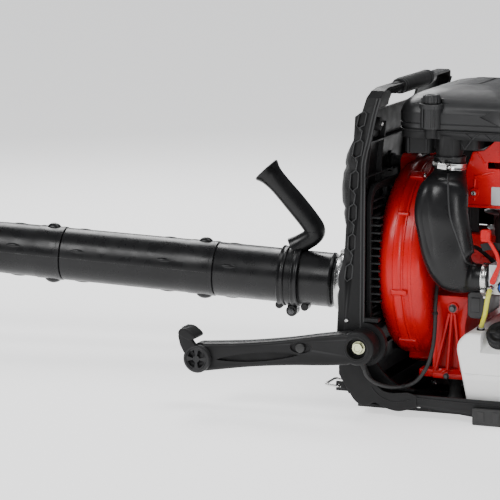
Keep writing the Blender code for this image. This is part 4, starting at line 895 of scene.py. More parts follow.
def fan_shell(name, profile, duct_low, duct_high):
    """One half of the fan housing with its part of the outlet duct."""
    shell = turned(name, SHAFT.copy(), BACK, profile, 112, ring=True)
    _, outlet_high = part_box("volute_rear")
    low_z, high_z = 0.080, 0.158
    wall = 0.003
    join(shell, box(f"{name}_duct", (duct_low, 0.085, low_z), (duct_high, outlet_high.y, high_z)))
    if name == "fan_front":
        join(shell, prism("fan_lug", rounded((-0.018, 0.335), (0.018, 0.3735), 0.014, 8), 0, FAN_FRONT,
                          FAN_FRONT + 0.024))
    cut(shell, box(f"{name}_passage", (FAN_FRONT + 2 * wall, 0.045, low_z + wall),
                   (FAN_REAR - 2 * wall, outlet_high.y + 0.01, high_z - wall)))
    r = FAN_RADIUS - 0.0002
    front = FAN_FRONT + 0.0032
    rear = FAN_REAR - 0.0032
    room = [(front, r - 0.038), (front + 0.003, r - 0.019), (front + 0.010, r - 0.0075),
            (front + 0.022, r - 0.003), (rear - 0.018, r - 0.003), (rear - 0.0055, r - 0.0085),
            (rear, r - 0.023)]
    cut(shell, turned(f"{name}_room", SHAFT.copy(), BACK, room, 112))
    return soften(shell, 0.0016, 2, 28.0)


def fillet(start, corner, end, steps=6):
    """Points of a round corner between two (distance, radius) pairs."""
    points = []
    for i in range(steps + 1):
        t = i / steps
        points.append(tuple(start[k] * (1 - t) ** 2 + corner[k] * 2 * t * (1 - t) + end[k] * t**2
                            for k in range(2)))
    return points


def build_fan_housing():
    r = FAN_RADIUS
    f = FAN_FRONT
    b = FAN_REAR
    outer = [(FAN_SPLIT, r)] + fillet((f + 0.030, r), (f + 0.004, r - 0.001), (f, r - 0.037), 9)
    inner = [(f + 0.003, 0.076), (f + 0.003, r - 0.0378)]
    inner += fillet((f + 0.0045, r - 0.030), (f + 0.007, r - 0.004), (f + 0.030, r - 0.003), 7)
    inner += [(FAN_SPLIT, r - 0.003)]
    front = fan_shell("fan_front", outer + [(f, 0.076)] + inner, f + 0.003, FAN_SPLIT)
    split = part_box("volute_rear")[0].x
    outer = [(split, r), (b - 0.020, r)] + fillet((b - 0.016, r - 0.0006), (b - 0.001, r - 0.003),
                                                  (b, r - 0.022), 6)
    inner = [(b - 0.003, 0.020), (b - 0.003, r - 0.023)]
    inner += fillet((b - 0.004, r - 0.018), (b - 0.006, r - 0.006), (b - 0.021, r - 0.003), 5)
    inner += [(split, r - 0.003)]
    rear = fan_shell("fan_rear", outer + [(b, 0.020)] + inner, split, b - 0.003)
    dress(front, "red", "volute_front")
    dress(rear, "red", "volute_rear")
    build_fan_trim()


def fan_tab(name, angle, reach, width, low_x, high_x):
    """A lug on the fan housing's rim that stands out by a reach, at an angle."""
    out = radial(angle)
    along = BACK.cross(out)
    turn = Matrix((BACK, along, out)).transposed()
    middle = SHAFT + out * (FAN_RADIUS + reach / 2 - 0.001)
    middle.x = (low_x + high_x) / 2
    return soften(block(name, middle, (high_x - low_x, width, reach + 0.002), turn), 0.0022, 4)


def build_fan_trim():
    """Seam flange, lugs and screws round the rim of the fan housing."""
    parts = []
    r = FAN_RADIUS
    middle = FAN_SPLIT
    rows = [(-0.0130, r - 0.001), (-0.0130, r + 0.0008), (-0.0118, r + 0.0018), (-0.0005, r + 0.0018),
            (-0.0003, r + 0.0012), (0.0003, r + 0.0012), (0.0005, r + 0.0018), (0.0026, r + 0.0018),
            (0.0036, r + 0.0008), (0.0036, r - 0.001)]
    start = Vector((middle, 0.0, SHAFT.z))
    parts.append(turned("seam_flange", start, BACK, rows, 112, ring=True))
    step = [(0.0110, r - 0.001), (0.0110, r + 0.0006), (0.0116, r + 0.0010), (0.0150, r + 0.0010),
            (0.0156, r + 0.0006), (0.0156, r - 0.001)]
    parts.append(turned("rear_step", start, BACK, step, 112, ring=True))
    screws = []
    for i, angle in enumerate((284.0, 120.0, 82.0, 46.0, 8.0)):
        parts.append(fan_tab(f"rim_lug_{i}", angle, 0.0068, 0.015, middle - 0.010, middle + 0.012))
        seat = SHAFT + radial(angle) * (r + 0.0035)
        seat.x = middle + 0.012
        screws.append(socket_screw(f"rim_screw_{i}", seat, BACK, 0.0032))
    lugs = ((147.0, 0.0034, 0.0060, -0.013, 0.006), (192.0, 0.0050, 0.0085, -0.015, 0.010),
            (229.0, 0.0060, 0.0200, -0.017, 0.012), (249.0, 0.0100, 0.0260, -0.013, 0.019))
    for i, (angle, reach, width, low_x, high_x) in enumerate(lugs):
        parts.append(fan_tab(f"side_lug_{i}", angle, reach, width, middle + low_x, middle + high_x))
    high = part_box("volute_front")[1]
    duct = rounded((FAN_FRONT + 0.001, 0.078), (FAN_REAR - 0.001, 0.160), 0.004, 4)
    flange = prism("outlet_flange", [(x, z) for x, z in duct], 1, high.y - 0.006, high.y)
    inner = prism("outlet_hole", rounded((FAN_FRONT + 0.0065, 0.0835), (FAN_REAR - 0.0065, 0.1545), 0.003, 3),
                  1, high.y - 0.010, high.y + 0.010)
    parts.append(soften(cut(flange, inner), 0.0008))
    dress(merge("fan_trim", parts), "red", body="root")
    dress(merge("fan_screws", screws), "steel", body="root")


def build_impeller():
    """Fan wheel with curved blades between its hub and back disc."""
    rows = [(-0.094, 0.0085), (-0.094, 0.017)] + fillet((-0.092, 0.020), (-0.060, 0.026), (-0.050, 0.034), 4)
    rows += (fillet((-0.048, 0.060), (-0.0462, 0.090), (-0.046, 0.131), 4)
             + [(-0.042, 0.132), (-0.042, 0.0085)])
    wheel = turned("fan_wheel", SHAFT.copy(), BACK, rows, 72, ring=True)
    parts = [soften(wheel, 0.0008, 1)]
    blades = 9
    for i in range(blades):
        start = 2.0 * math.pi * i / blades
        inside = []
        outside = []
        for step in range(9):
            radius = 0.060 + 0.070 * step / 8
            angle = start - 0.55 * step / 8
            half = 0.0012 / radius
            for line, turn in ((inside, angle - half), (outside, angle + half)):
                line.append((radius * math.cos(turn), SHAFT.z + radius * math.sin(turn)))
        parts.append(prism(f"fan_blade_{i}", inside + outside[::-1], 0, -0.0935, -0.0455))
    dress(merge("impeller_wheel", parts), "grey", "impeller")


def build_engine_block():
    block_shell = refine("crankcase", 0.0030, 3)
    for side in (-1, 1):
        near = sorted((side * 0.093, side * 0.110))
        for i, outline in enumerate(([(-0.0215, 0.0640), (-0.0080, 0.0640), (0.0000, 0.1400),
                                      (-0.0030, 0.1460)],
                                     [(-0.0015, 0.0640), (0.0125, 0.0640), (0.0085, 0.1440),
                                      (0.0050, 0.1400)])):
            cut(block_shell, prism(f"stand_pocket_{side}_{i}", outline, 1, *near))
    dress(block_shell, "cast", "crankcase")
    parts = []
    screws = []
    for side in (-1, 1):
        face = side * 0.104
        boss = Vector((0.0035, face - side * 0.004, 0.158))
        parts.append(soften(rod(f"stand_boss_{side}", boss, boss + RIGHT * side * 0.0065, 0.0085), 0.0012))
        screws.append(hex_bolt(f"stand_bolt_{side}", boss + RIGHT * side * 0.0062, RIGHT * side, 0.0046))
        for i, foot_x in enumerate((-0.0225, -0.004, 0.0165)):
            top = Vector((0.0035 + (foot_x - 0.0035) * 0.2, face - side * 0.0005, 0.151))
            foot = Vector((foot_x, face - side * 0.0005, 0.062))
            way = (foot - top).normalized()
            turn = Matrix((way.cross(RIGHT), RIGHT, way)).transposed()
            parts.append(soften(block(f"gusset_{side}_{i}", (top + foot) / 2,
                                      (0.0048, 0.0085, (foot - top).length), turn), 0.0015))
        parts.append(soften(box(f"stand_flange_{side}", (-0.0270, min(face, face + side * 0.004), 0.0500),
                                (0.0250, max(face, face + side * 0.004), 0.0580)), 0.0014))
        parts.append(soften(box(f"stand_toe_{side}", (-0.0500, min(side * 0.080, side * 0.1035), 0.0500),
                                (-0.0240, max(side * 0.080, side * 0.1035), 0.0620)), 0.0020, 3))
        screws.append(hex_bolt(f"toe_bolt_{side}", Vector((-0.005, face + side * 0.0036, 0.0540)),
                               RIGHT * side,
                               0.0035))
    for i in range(5):
        z = 0.178 + 0.016 * i
        for side in (-1, 1):
            y = side * 0.0470
            parts.append(soften(box(f"case_fin_{side}_{i}", (0.030, min(y, y + side * 0.003), z),
                                    (0.106, max(y, y + side * 0.003), z + 0.003)), 0.0010))
    dress(merge("engine_ribs", parts), "cast", body="root")
    dress(merge("engine_bolts", screws), "dark_steel", body="root")
    crank = refine("crankshaft", 0.0006, 1)
    dress(crank, "steel", "crankshaft")
    for node in ("piston", "connecting_rod"):
        dress(refine(node, 0.0005, 1), "alloy", node)


def build_cylinder():
    low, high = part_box("cylinder")
    foot = Vector(((low.x + high.x) / 2, (low.y + high.y) / 2, low.z))
    square = [(0.0, 0.0225), (0.0, 0.040), (0.006, 0.040), (0.0064, 0.0300)]
    fins = 9
    for i in range(fins):
        z = 0.0300 + 0.0082 * i
        square += [(z, 0.0300), (z + 0.0003, 0.0446), (z + 0.0018, 0.0446), (z + 0.0021, 0.0300)]
    square += [(0.1095, 0.0280), (0.1100, 0.0260), (0.110, 0.0046), (0.103, 0.0046), (0.098, 0.0258),
               (0.001, 0.0258)]
    barrel = turned("cylinder_barrel", foot, UP, square, 72, ring=True)
    centre = foot + UP * 0.0172
    for side in (-1, 1):
        join(barrel, rod(f"port_boss_{side}", centre + RIGHT * side * 0.0270, centre + RIGHT * side * 0.0470,
                         0.0125, 40))
        cut(barrel, rod(f"port_{side}", centre, centre + RIGHT * side * 0.06, 0.008, 40))
    dress(barrel, "alloy", "cylinder")


def build_cylinder_cover():
    shroud = refine("cylinder_cover", 0.0042, 4)
    low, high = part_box("cylinder_cover")
    parts = [shroud]
    near = low.y
    rib_plan = [((0.0450, 0.3760), (0.0340, 0.3925)), ((0.0600, 0.3640), (0.0300, 0.3560)),
                ((0.0300, 0.3520), (0.0300, 0.3200))]
    for i, (top, bottom) in enumerate(rib_plan):
        start = Vector((top[0], near, top[1]))
        end = Vector((bottom[0], near, bottom[1]))
        parts.append(bead(f"cover_rib_{i}", [start, end], 0.0016))
    lip = prism("cover_lip", [(low.x + 0.002, low.z), (high.x, low.z), (high.x, low.z + 0.004),
                              (low.x + 0.002, low.z + 0.004)], 1, near - 0.0022, near + 0.002)
    parts.append(soften(lip, 0.0009))
    pad = Vector((0.0300, near, 0.3320))
    parts.append(soften(rod("cover_boss", pad, pad - RIGHT * 0.0045, 0.0075), 0.0012))
    rear = high.x
    border = [Vector((rear, y, z)) for y, z in rounded((low.y + 0.012, low.z + 0.012),
                                                       (high.y - 0.012, high.z - 0.012), 0.012, 6)]
    parts.append(bead("cover_border", border + border[:1], 0.0016))
    parts.append(bead("cover_crease", [Vector((rear, low.y + 0.040, low.z + 0.012)),
                                       Vector((rear, low.y + 0.048, high.z - 0.012))], 0.0012))
    dress(merge("cylinder_shroud", parts), "red", "cylinder_cover")
    louvres = []
    for i in range(5):
        z = low.z + 0.026 + 0.0125 * i
        slat = [Vector((rear + 0.0004, low.y + 0.058, z)), Vector((rear + 0.0004, high.y - 0.024, z))]
        louvres.append(bead(f"cover_louvre_{i}", slat, 0.0024, 12))
    dress(merge("shroud_louvres", louvres), "black", body="root")
    screws = [socket_screw("cover_screw", pad - RIGHT * 0.0045, -RIGHT, 0.0040),
              socket_screw("cover_screw_top", Vector((0.100, near, 0.398)), -RIGHT, 0.0036)]
    for y in (low.y + 0.019, high.y - 0.019):
        for z in (low.z + 0.019, high.z - 0.019):
            screws.append(socket_screw(f"cover_screw_{y:.3f}_{z:.3f}", Vector((rear, y, z)), BACK, 0.0036))
    dress(merge("shroud_screws", screws), "steel", body="root")
    plate = prism("data_plate", rounded((0.0560, 0.3145), (0.0960, 0.3420), 0.0015, 3), 1, near - 0.0008,
                  near + 0.0005)
    dress(soften(plate, 0.0002, 1), "plate", body="root")


def build_ignition():
    low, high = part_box("spark_plug")
    centre = Vector(((low.x + high.x) / 2, (low.y + high.y) / 2, low.z))
    rows = [(0.0, 0.0030), (0.004, 0.0042), (0.0150, 0.0042), (0.0152, 0.0088, hexagon),
            (0.0215, 0.0088, hexagon),
            (0.0235, 0.0060), (0.0250, 0.0052), (0.0375, 0.0046), (0.0385, 0.0070), (0.0450, 0.0070),
            (0.0460, 0.0060)]
    dress(turned("plug_body", centre, UP, rows, 36), "steel", "spark_plug")
    low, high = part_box("ignition_coil")
    coil = refine("ignition_coil", 0.0025, 3)
    fins = [coil]
    for i in range(4):
        x = low.x + 0.006 + (high.x - low.x - 0.012) * i / 3
        fins.append(soften(block(f"coil_fin_{i}", Vector((x, (low.y + high.y) / 2, high.z)),
                                 (0.0024, high.y - low.y - 0.006, 0.003)), 0.0006))
    dress(merge("coil_body", fins), "black", "ignition_coil")
    route = smooth_route([Vector((0.006, 0.066, 0.236)), Vector((0.008, 0.062, 0.262)),
                          Vector((0.010, 0.050, 0.300)), Vector((0.030, 0.020, 0.392)),
                          Vector((0.052, 0.004, 0.402)), Vector((0.065, 0.0, 0.4015))], 6)
    keep = [point for point in route]
    dress(swept("spark_lead", keep, [0.0028] * len(keep), 16, hint=BACK), "rubber", body="root")


def build_exhaust():
    dress(refine("muffler", 0.0035, 3), "alloy", "muffler")
    guard = refine("muffler_guard", 0.0030, 3)
    dress(guard, "black", "muffler_guard")
    low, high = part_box("muffler_guard")
    screws = []
    for i, (x, z) in enumerate(((low.x + 0.009, low.z + 0.012), (high.x - 0.009, high.z - 0.010),
                                (low.x + 0.009, high.z - 0.010))):
        screws.append(socket_screw(f"guard_screw_{i}", Vector((x, high.y, z)), RIGHT, 0.0038))
    dress(merge("guard_screws", screws), "steel", body="root")
    outlet = Vector((0.100, 0.104, 0.270))
    dress(band("tail_pipe", outlet, outlet + RIGHT * 0.0155, 0.0078, 0.0066, 40), "alloy", body="root")


def build_starter():
    low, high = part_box("starter_housing")
    start = low.x
    rows = [(0.0, 0.0668), (0.0, 0.0685), (0.0015, 0.0700), (0.030, 0.0700)]
    rows += fillet((0.034, 0.0695), (0.0425, 0.0675), (high.x - start - 0.0005, 0.056), 7)
    rows += [(high.x - start, 0.052), (high.x - start, 0.0050), (high.x - start - 0.003, 0.0050),
             (high.x - start - 0.003, 0.0500)]
    rows += fillet((high.x - start - 0.0045, 0.056), (0.0400, 0.0640), (0.030, 0.0670), 5)
    shell = turned("starter_cover", Vector((start, 0.0, SHAFT.z)), BACK, rows, 96, ring=True)
    slots = 18
    for i in range(slots):
        way = radial(360.0 * i / slots)
        tangent = BACK.cross(way)
        turn = Matrix((BACK, tangent, way)).transposed()
        middle = Vector((high.x - 0.001, 0.0, SHAFT.z)) + way * 0.0345
        cut(shell, block(f"starter_vent_{i}", middle, (0.012, 0.0042, 0.024), turn))
    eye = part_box("starter_grip")
    rope = (eye[0] + eye[1]) / 2
    rope_z = joint_point("starter_pulley_turn").z - 0.0305
    cut(shell, rod("rope_hole", Vector((rope.x, -0.085, rope_z)), Vector((rope.x, -0.040, rope_z)), 0.0030))
    face = high.x
    soften(shell, 0.0007, 2)
    rings = []
    for radius in (0.0180, 0.0505):
        rings.append(turned(f"starter_ring_{radius}", Vector((face - 0.001, 0.0, SHAFT.z)), BACK,
                            [(0.0, radius - 0.0014), (0.0014, radius - 0.0012), (0.0019, radius),
                             (0.0014, radius + 0.0012), (0.0, radius + 0.0014)], 72, ring=True))
    dress(merge("starter_shell", [shell] + rings), "red", "starter_housing")
    slats = []
    for i in range(slots):
        way = radial(360.0 * i / slots)
        ends = [Vector((face, 0.0, SHAFT.z)) + way * reach for reach in (0.0230, 0.0350, 0.0460)]
        slats.append(bead(f"starter_slat_{i}", ends, 0.0018, 10))
    dress(merge("starter_slats", slats), "black", body="root")
    bush = band("rope_bush", Vector((rope.x, -0.0700, rope_z)), Vector((rope.x, -0.0600, rope_z)), 0.0062,
                0.0028, 32)
    screws = []
    for i in range(4):
        way = radial(45.0 + 90.0 * i)
        seat = Vector((start + 0.006, 0.0, SHAFT.z)) + way * 0.0700
        lug = soften(rod(f"starter_lug_{i}", seat - BACK * 0.005, seat + BACK * 0.006, 0.0070), 0.0010)
        screws.append(lug)
    dress(merge("starter_lugs", screws), "red", body="root")
    heads = [socket_screw(f"starter_screw_{i}", Vector((start + 0.012, 0.0, SHAFT.z))
                          + radial(45.0 + 90.0 * i) * 0.0710, BACK, 0.0036) for i in range(4)]
    dress(merge("starter_screws", heads), "steel", body="root")
    dress(soften(bush, 0.0006, 1), "black", body="root")
    dress(refine("starter_pulley", 0.0005, 1), "grey", "starter_pulley")
    low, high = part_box("starter_grip")
    rope_rod = rod("starter_rope", Vector((rope.x, high.y, rope_z)), Vector((rope.x, -0.083, rope_z)),
                   0.0019, 20)
    path = [Vector((rope.x, y, rope_z)) for y in (-0.0790, -0.0810, -0.0860, -0.0920, -0.0990, -0.1050,
                                                  -0.1080)]
    handle = swept("pull_handle", path, [0.0060, 0.0085, 0.0130, 0.0172, 0.0190, 0.0178, 0.0140], 40,
                   squash=0.55)
    dress(merge("pull_grip", [rope_rod, soften(handle, 0.0012, 2)]), "rubber", "starter_grip")


def build_mounts():
    for name, axis in (("mount_left", UP), ("mount_right", UP), ("mount_upper", BACK)):
        low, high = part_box(name)
        middle = (low + high) / 2
        length = high.z - low.z if axis == UP else high.x - low.x
        start = Vector((middle.x, middle.y, low.z)) if axis == UP else Vector((low.x, middle.y, middle.z))
        rows = [(0.0, 0.0114), (0.0006, 0.0120), (0.0030, 0.0120), (0.0040, 0.0112)]
        rows += [(length * t, 0.0100 - 0.0012 * math.sin(math.pi * t)) for t in (0.25, 0.38, 0.5, 0.62, 0.75)]
        rows += [(length - 0.0040, 0.0112), (length - 0.0030, 0.0120), (length - 0.0006, 0.0120),
                 (length, 0.0114)]
        dress(turned(f"{name}_rubber", start, axis, rows, 48), "rubber", name)


# ---------------------------------------------------------------- elbow, hose and tube
def on_tube(distance):
    """Point on the tube's middle line, at a distance from its start."""
    return TUBE_START + TUBE_AXIS * distance


HOSE_START = Vector((-0.1305, 0.243, 0.1190))
ACROSS_TUBE, ABOVE_TUBE = across(TUBE_AXIS)
CLAMP_AT = on_tube(0.073)
TUBE_RADIUS = 0.0448


def build_elbow():
    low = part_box("elbow")[0]
    flange_y = low.y
    mouth = Vector(((FAN_FRONT + FAN_REAR) / 2, flange_y + 0.004, 0.119))
    path = hermite(mouth, RIGHT * 0.110, Vector((-0.112, HOSE_START.y, HOSE_START.z)), -BACK * 0.110, 18)
    path.append(HOSE_START - BACK * 0.014)
    bend = swept("elbow_bend_shell", path, [0.0388] * len(path), 56, inner=0.0360, ends=(RIGHT, -BACK))
    plate = prism("elbow_plate",
                  rounded((mouth.x - 0.043, mouth.z - 0.043), (mouth.x + 0.043, mouth.z + 0.043),
                                         0.007, 4), 1, flange_y, flange_y + 0.006)
    cut(plate, rod("elbow_hole", mouth - RIGHT * 0.02, mouth + RIGHT * 0.02, 0.0362, 56))
    soften(plate, 0.0012)
    parts = [bend, plate]
    screws = []
    for dx in (-1, 1):
        for dz in (-1, 1):
            seat = mouth + Vector((dx * 0.0365, 0.0, dz * 0.0365))
            seat.y = flange_y + 0.005
            parts.append(soften(rod(f"elbow_boss_{dx}_{dz}", seat, seat + RIGHT * 0.003, 0.0056), 0.0008))
            screws.append(socket_screw(f"elbow_screw_{dx}_{dz}", seat + RIGHT * 0.003, RIGHT, 0.0036))
    collar = path[13]
    way = path[14] - path[12]
    for offset in (-0.010, 0.010):
        spot = collar + way.normalized() * offset
        parts.append(soften(band(f"elbow_ridge_{offset}", spot - way.normalized() * 0.0012,
                                 spot + way.normalized() * 0.0012, 0.0400, 0.0378, 56), 0.0006))
    dress(merge("outlet_elbow", parts), "black", "elbow")
    dress(merge("elbow_screws", screws), "steel", body="root")


def hose_loops(path, ways, first, last, total):
    """Outside of the folded hose between two steps of its path, then back along its inside."""
    outside = []
    inside = []
    for i in range(first, last + 1):
        share = i / total
        if share < 0.125 or share > 0.885:
            radius = 0.0450
        else:
            turn = (share - 0.125) / (0.885 - 0.125) * 7.0
            radius = 0.0436 + 0.0056 * (0.5 - 0.5 * math.cos(2.0 * math.pi * turn)) ** 0.75
        outside.append(circle(path[i], ways[i], radius, 64))
        inside.append(circle(path[i], ways[i],
                             min(radius - 0.0030, 0.0440) if 0.1 < share < 0.9 else 0.0406, 64))
    return outside + inside[::-1]


def build_hose():
    """The hose is two pieces that meet between its upright and its level bending axis."""
    steps = 112
    end = on_tube(-0.006)
    path = hermite(HOSE_START, BACK * -0.170, end, TUBE_AXIS * 0.170, steps)
    ways = [path[min(i + 1, steps)] - path[max(i - 1, 0)] for i in range(steps + 1)]
    ways[0], ways[-1] = -BACK, TUBE_AXIS
    middle = min(range(steps + 1), key=lambda i: abs(path[i].x + 0.2200))
    rear = skin("hose_rear_half", hose_loops(path, ways, 0, middle, steps), ring=True)
    front = skin("hose_front_half", hose_loops(path, ways, middle, steps, steps), ring=True)
    spans = ((rear, int(steps * 0.14), middle - 2), (front, middle + 2, int(steps * 0.86)))
    for i, (piece, start, end) in enumerate(spans):
        material, slot_name = LOOKS["rubber"]
        piece.data.materials.append(material)
        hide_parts("hose_bellows")
        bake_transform(piece)
    rear_at = HOSE_START - BACK * 0.006
    dress(worm_clamp("hose_band_rear", rear_at, BACK, 0.0453, 0.0105, Vector((0.0, 0.55, 1.0))), "steel",
          "hose_clamp_rear")
    dress(worm_clamp("hose_band_front", on_tube(-0.0125), TUBE_AXIS, 0.0453, 0.0105, ABOVE_TUBE), "steel",
          "hose_clamp_front")


def almond(name, distance, length, width, angle, radius):
    """A raised almond-shaped rib on the tube, rounded over, at an angle round its axis."""
    steps = 14
    loops = []
    for i in range(steps + 1):
        t = i / steps
        swell = math.sin(math.pi * t) ** 0.8
        half = max(width * swell, 0.0002)
        rise = 0.0018 * swell + 0.0001
        at = distance + length * (t - 0.5)
        row = []
        for step in range(-4, 5):
            turn = angle + half * step / 4 / radius
            out = ACROSS_TUBE * math.cos(turn) + ABOVE_TUBE * math.sin(turn)
            row.append(on_tube(at) + out * (radius - 0.0004 + rise * math.cos(math.pi / 2 * step / 4.4)))
        base = [on_tube(at) + (ACROSS_TUBE * math.cos(angle + s * half / radius)
                               + ABOVE_TUBE * math.sin(angle + s * half / radius)) * (radius - 0.0012)
                for s in (0.8, -0.8)]
        loops.append(row + base)
    return skin(name, loops)


def lock_bump(name, distance, up, radius, size):
    """The hollow bump on a socket that the next pipe's stud locks into."""
    tangent = TUBE_AXIS.cross(up)
    steps = 14
    loops = []
    for i in range(steps + 1):
        t = i / steps
        rise = math.sin(math.pi * t) ** 0.45
        spot = on_tube(distance + 0.0230 * size**0.5 * (t - 0.5)) + up * (radius - 0.0030)
        half = 0.0050 + 0.0045 * size * rise
        tall = 0.0012 + (0.0062 + 0.0016 * size) * rise
        loops.append([spot + tangent * (half * math.cos(math.pi * k / 10))
                      + up * (tall * math.sin(math.pi * k / 10))
                      for k in range(11)])
    return skin(name, loops)


def build_pipes():
    r = TUBE_RADIUS
    wall = 0.0022
    spigot = 0.0388
    neck = r - 0.0036
    swivel = [(-0.030, spigot - 0.0006), (-0.0294, spigot), (-0.001, spigot), (0.0002, r - 0.0004),
              (0.0012, r),
              (0.0030, r + 0.0009), (0.0052, r + 0.0009), (0.0068, r), (0.1976, r),
              (0.1984, r - 0.0006), (0.199, neck), (0.2285, neck), (0.229, neck - 0.0005),
              (0.229, neck - wall), (-0.030, spigot - wall)]
    bore = neck + 0.0003
    straight = [(0.1996, r + 0.0002), (0.2002, r + 0.0012), (0.2060, r + 0.0012), (0.2066, r + 0.0006),
                (0.2450, r + 0.0006), (0.2480, r), (0.2700, r - 0.0001), (0.4626, r - 0.0008),
                (0.4634, r - 0.0016), (0.464, neck - 0.001), (0.4935, neck - 0.001), (0.494, neck - 0.0015),
                (0.494, neck - 0.001 - wall), (0.231, neck - wall), (0.2296, bore), (0.1996, bore)]
    bore = neck - 0.0007
    nozzle = [(0.4646, r - 0.0006), (0.4652, r + 0.0004), (0.4710, r + 0.0004), (0.4716, r - 0.0001),
              (0.5080, r - 0.0001), (0.5110, r - 0.001), (0.560, 0.0434), (0.620, 0.0424), (0.700, 0.0399),
              (0.760, 0.0374), (0.830, 0.0356), (0.905, 0.0345),
              (0.9100, 0.0350), (0.9125, 0.0352), (0.9172, 0.0352), (0.918, 0.0346), (0.918, 0.0324),
              (0.905, 0.0322), (0.760, 0.0350), (0.620, 0.0400), (0.496, neck - 0.001 - wall),
              (0.4946, bore), (0.4646, bore)]
    plans = {"swivel_pipe": (swivel, ((0.172, r),), None, r),
             "straight_pipe": (straight, ((0.283, r), (0.432, r - 0.0006)), 0.2220, r + 0.0006),
             "nozzle_pipe": (nozzle, ((0.545, 0.0438), (0.690, 0.0402)), 0.4865, r)}
    for node, (rows, ribs, lock, lock_radius) in plans.items():
        parts = [turned(f"{node}_wall", TUBE_START, TUBE_AXIS, rows, 80, ring=True)]
        for at, radius in ribs:
            for angle in (18.0, 92.0, 150.0, 196.0, 236.0, 278.0):
                parts.append(almond(f"{node}_almond_{at}_{angle}", at, 0.027, 0.0036, math.radians(angle),
                                    radius))
        if lock:
            for up, size in ((ABOVE_TUBE, 1.0), (-ABOVE_TUBE, 1.5)):
                parts.append(lock_bump(f"{node}_lock_{size}", lock - 0.004 * (size - 1.0), up, lock_radius,
                                       size))
        for angle in (90.0, 270.0):
            way = (ACROSS_TUBE * math.cos(math.radians(angle + 90.0))
                   + ABOVE_TUBE * math.sin(math.radians(angle + 90.0)))
            outer = [(at, rad) for at, rad in rows if rad > 0.0343 and at > rows[0][0]]
            outer = outer[:len(outer) // 2]
            seam = [on_tube(at) + way * (rad - 0.0002)
                    for at, rad in outer if at > 0.002 or node != "swivel_pipe"]
            if len(seam) > 2:
                parts.append(bead(f"{node}_seam_{angle}", seam, 0.0005, 8))
        dress(merge(f"{node}_moulding", parts), "gloss", node)


def build_air_guide():
    """Upright baffle that closes the gap between the fan housing and the cylinder's fins."""
    near, far = -0.0300, -0.0265
    outline = [(-0.0272, 0.2628), (0.0192, 0.2628), (0.0192, 0.3040), (0.0132, 0.3090), (0.0132, 0.3970),
               (-0.0140, 0.3970), (-0.0180, 0.3710), (-0.0272, 0.3650)]
    parts = [soften(prism("air_guide_plate", outline, 1, near, far), 0.0010, 2)]
    back_sheet = prism("air_guide_back", rounded((-0.0272, 0.2628), (0.0455, 0.3060), 0.004, 4), 1, 0.0465,
                       0.0495)
    parts.append(soften(back_sheet, 0.0008, 2))
    for i, x in enumerate((-0.0180, -0.0060, 0.0060)):
        parts.append(bead(f"air_guide_rib_{i}", [Vector((x, near, 0.2700)), Vector((x, near, 0.3600))],
                          0.0012))
    dress(merge("air_guide", parts), "black", body="root")


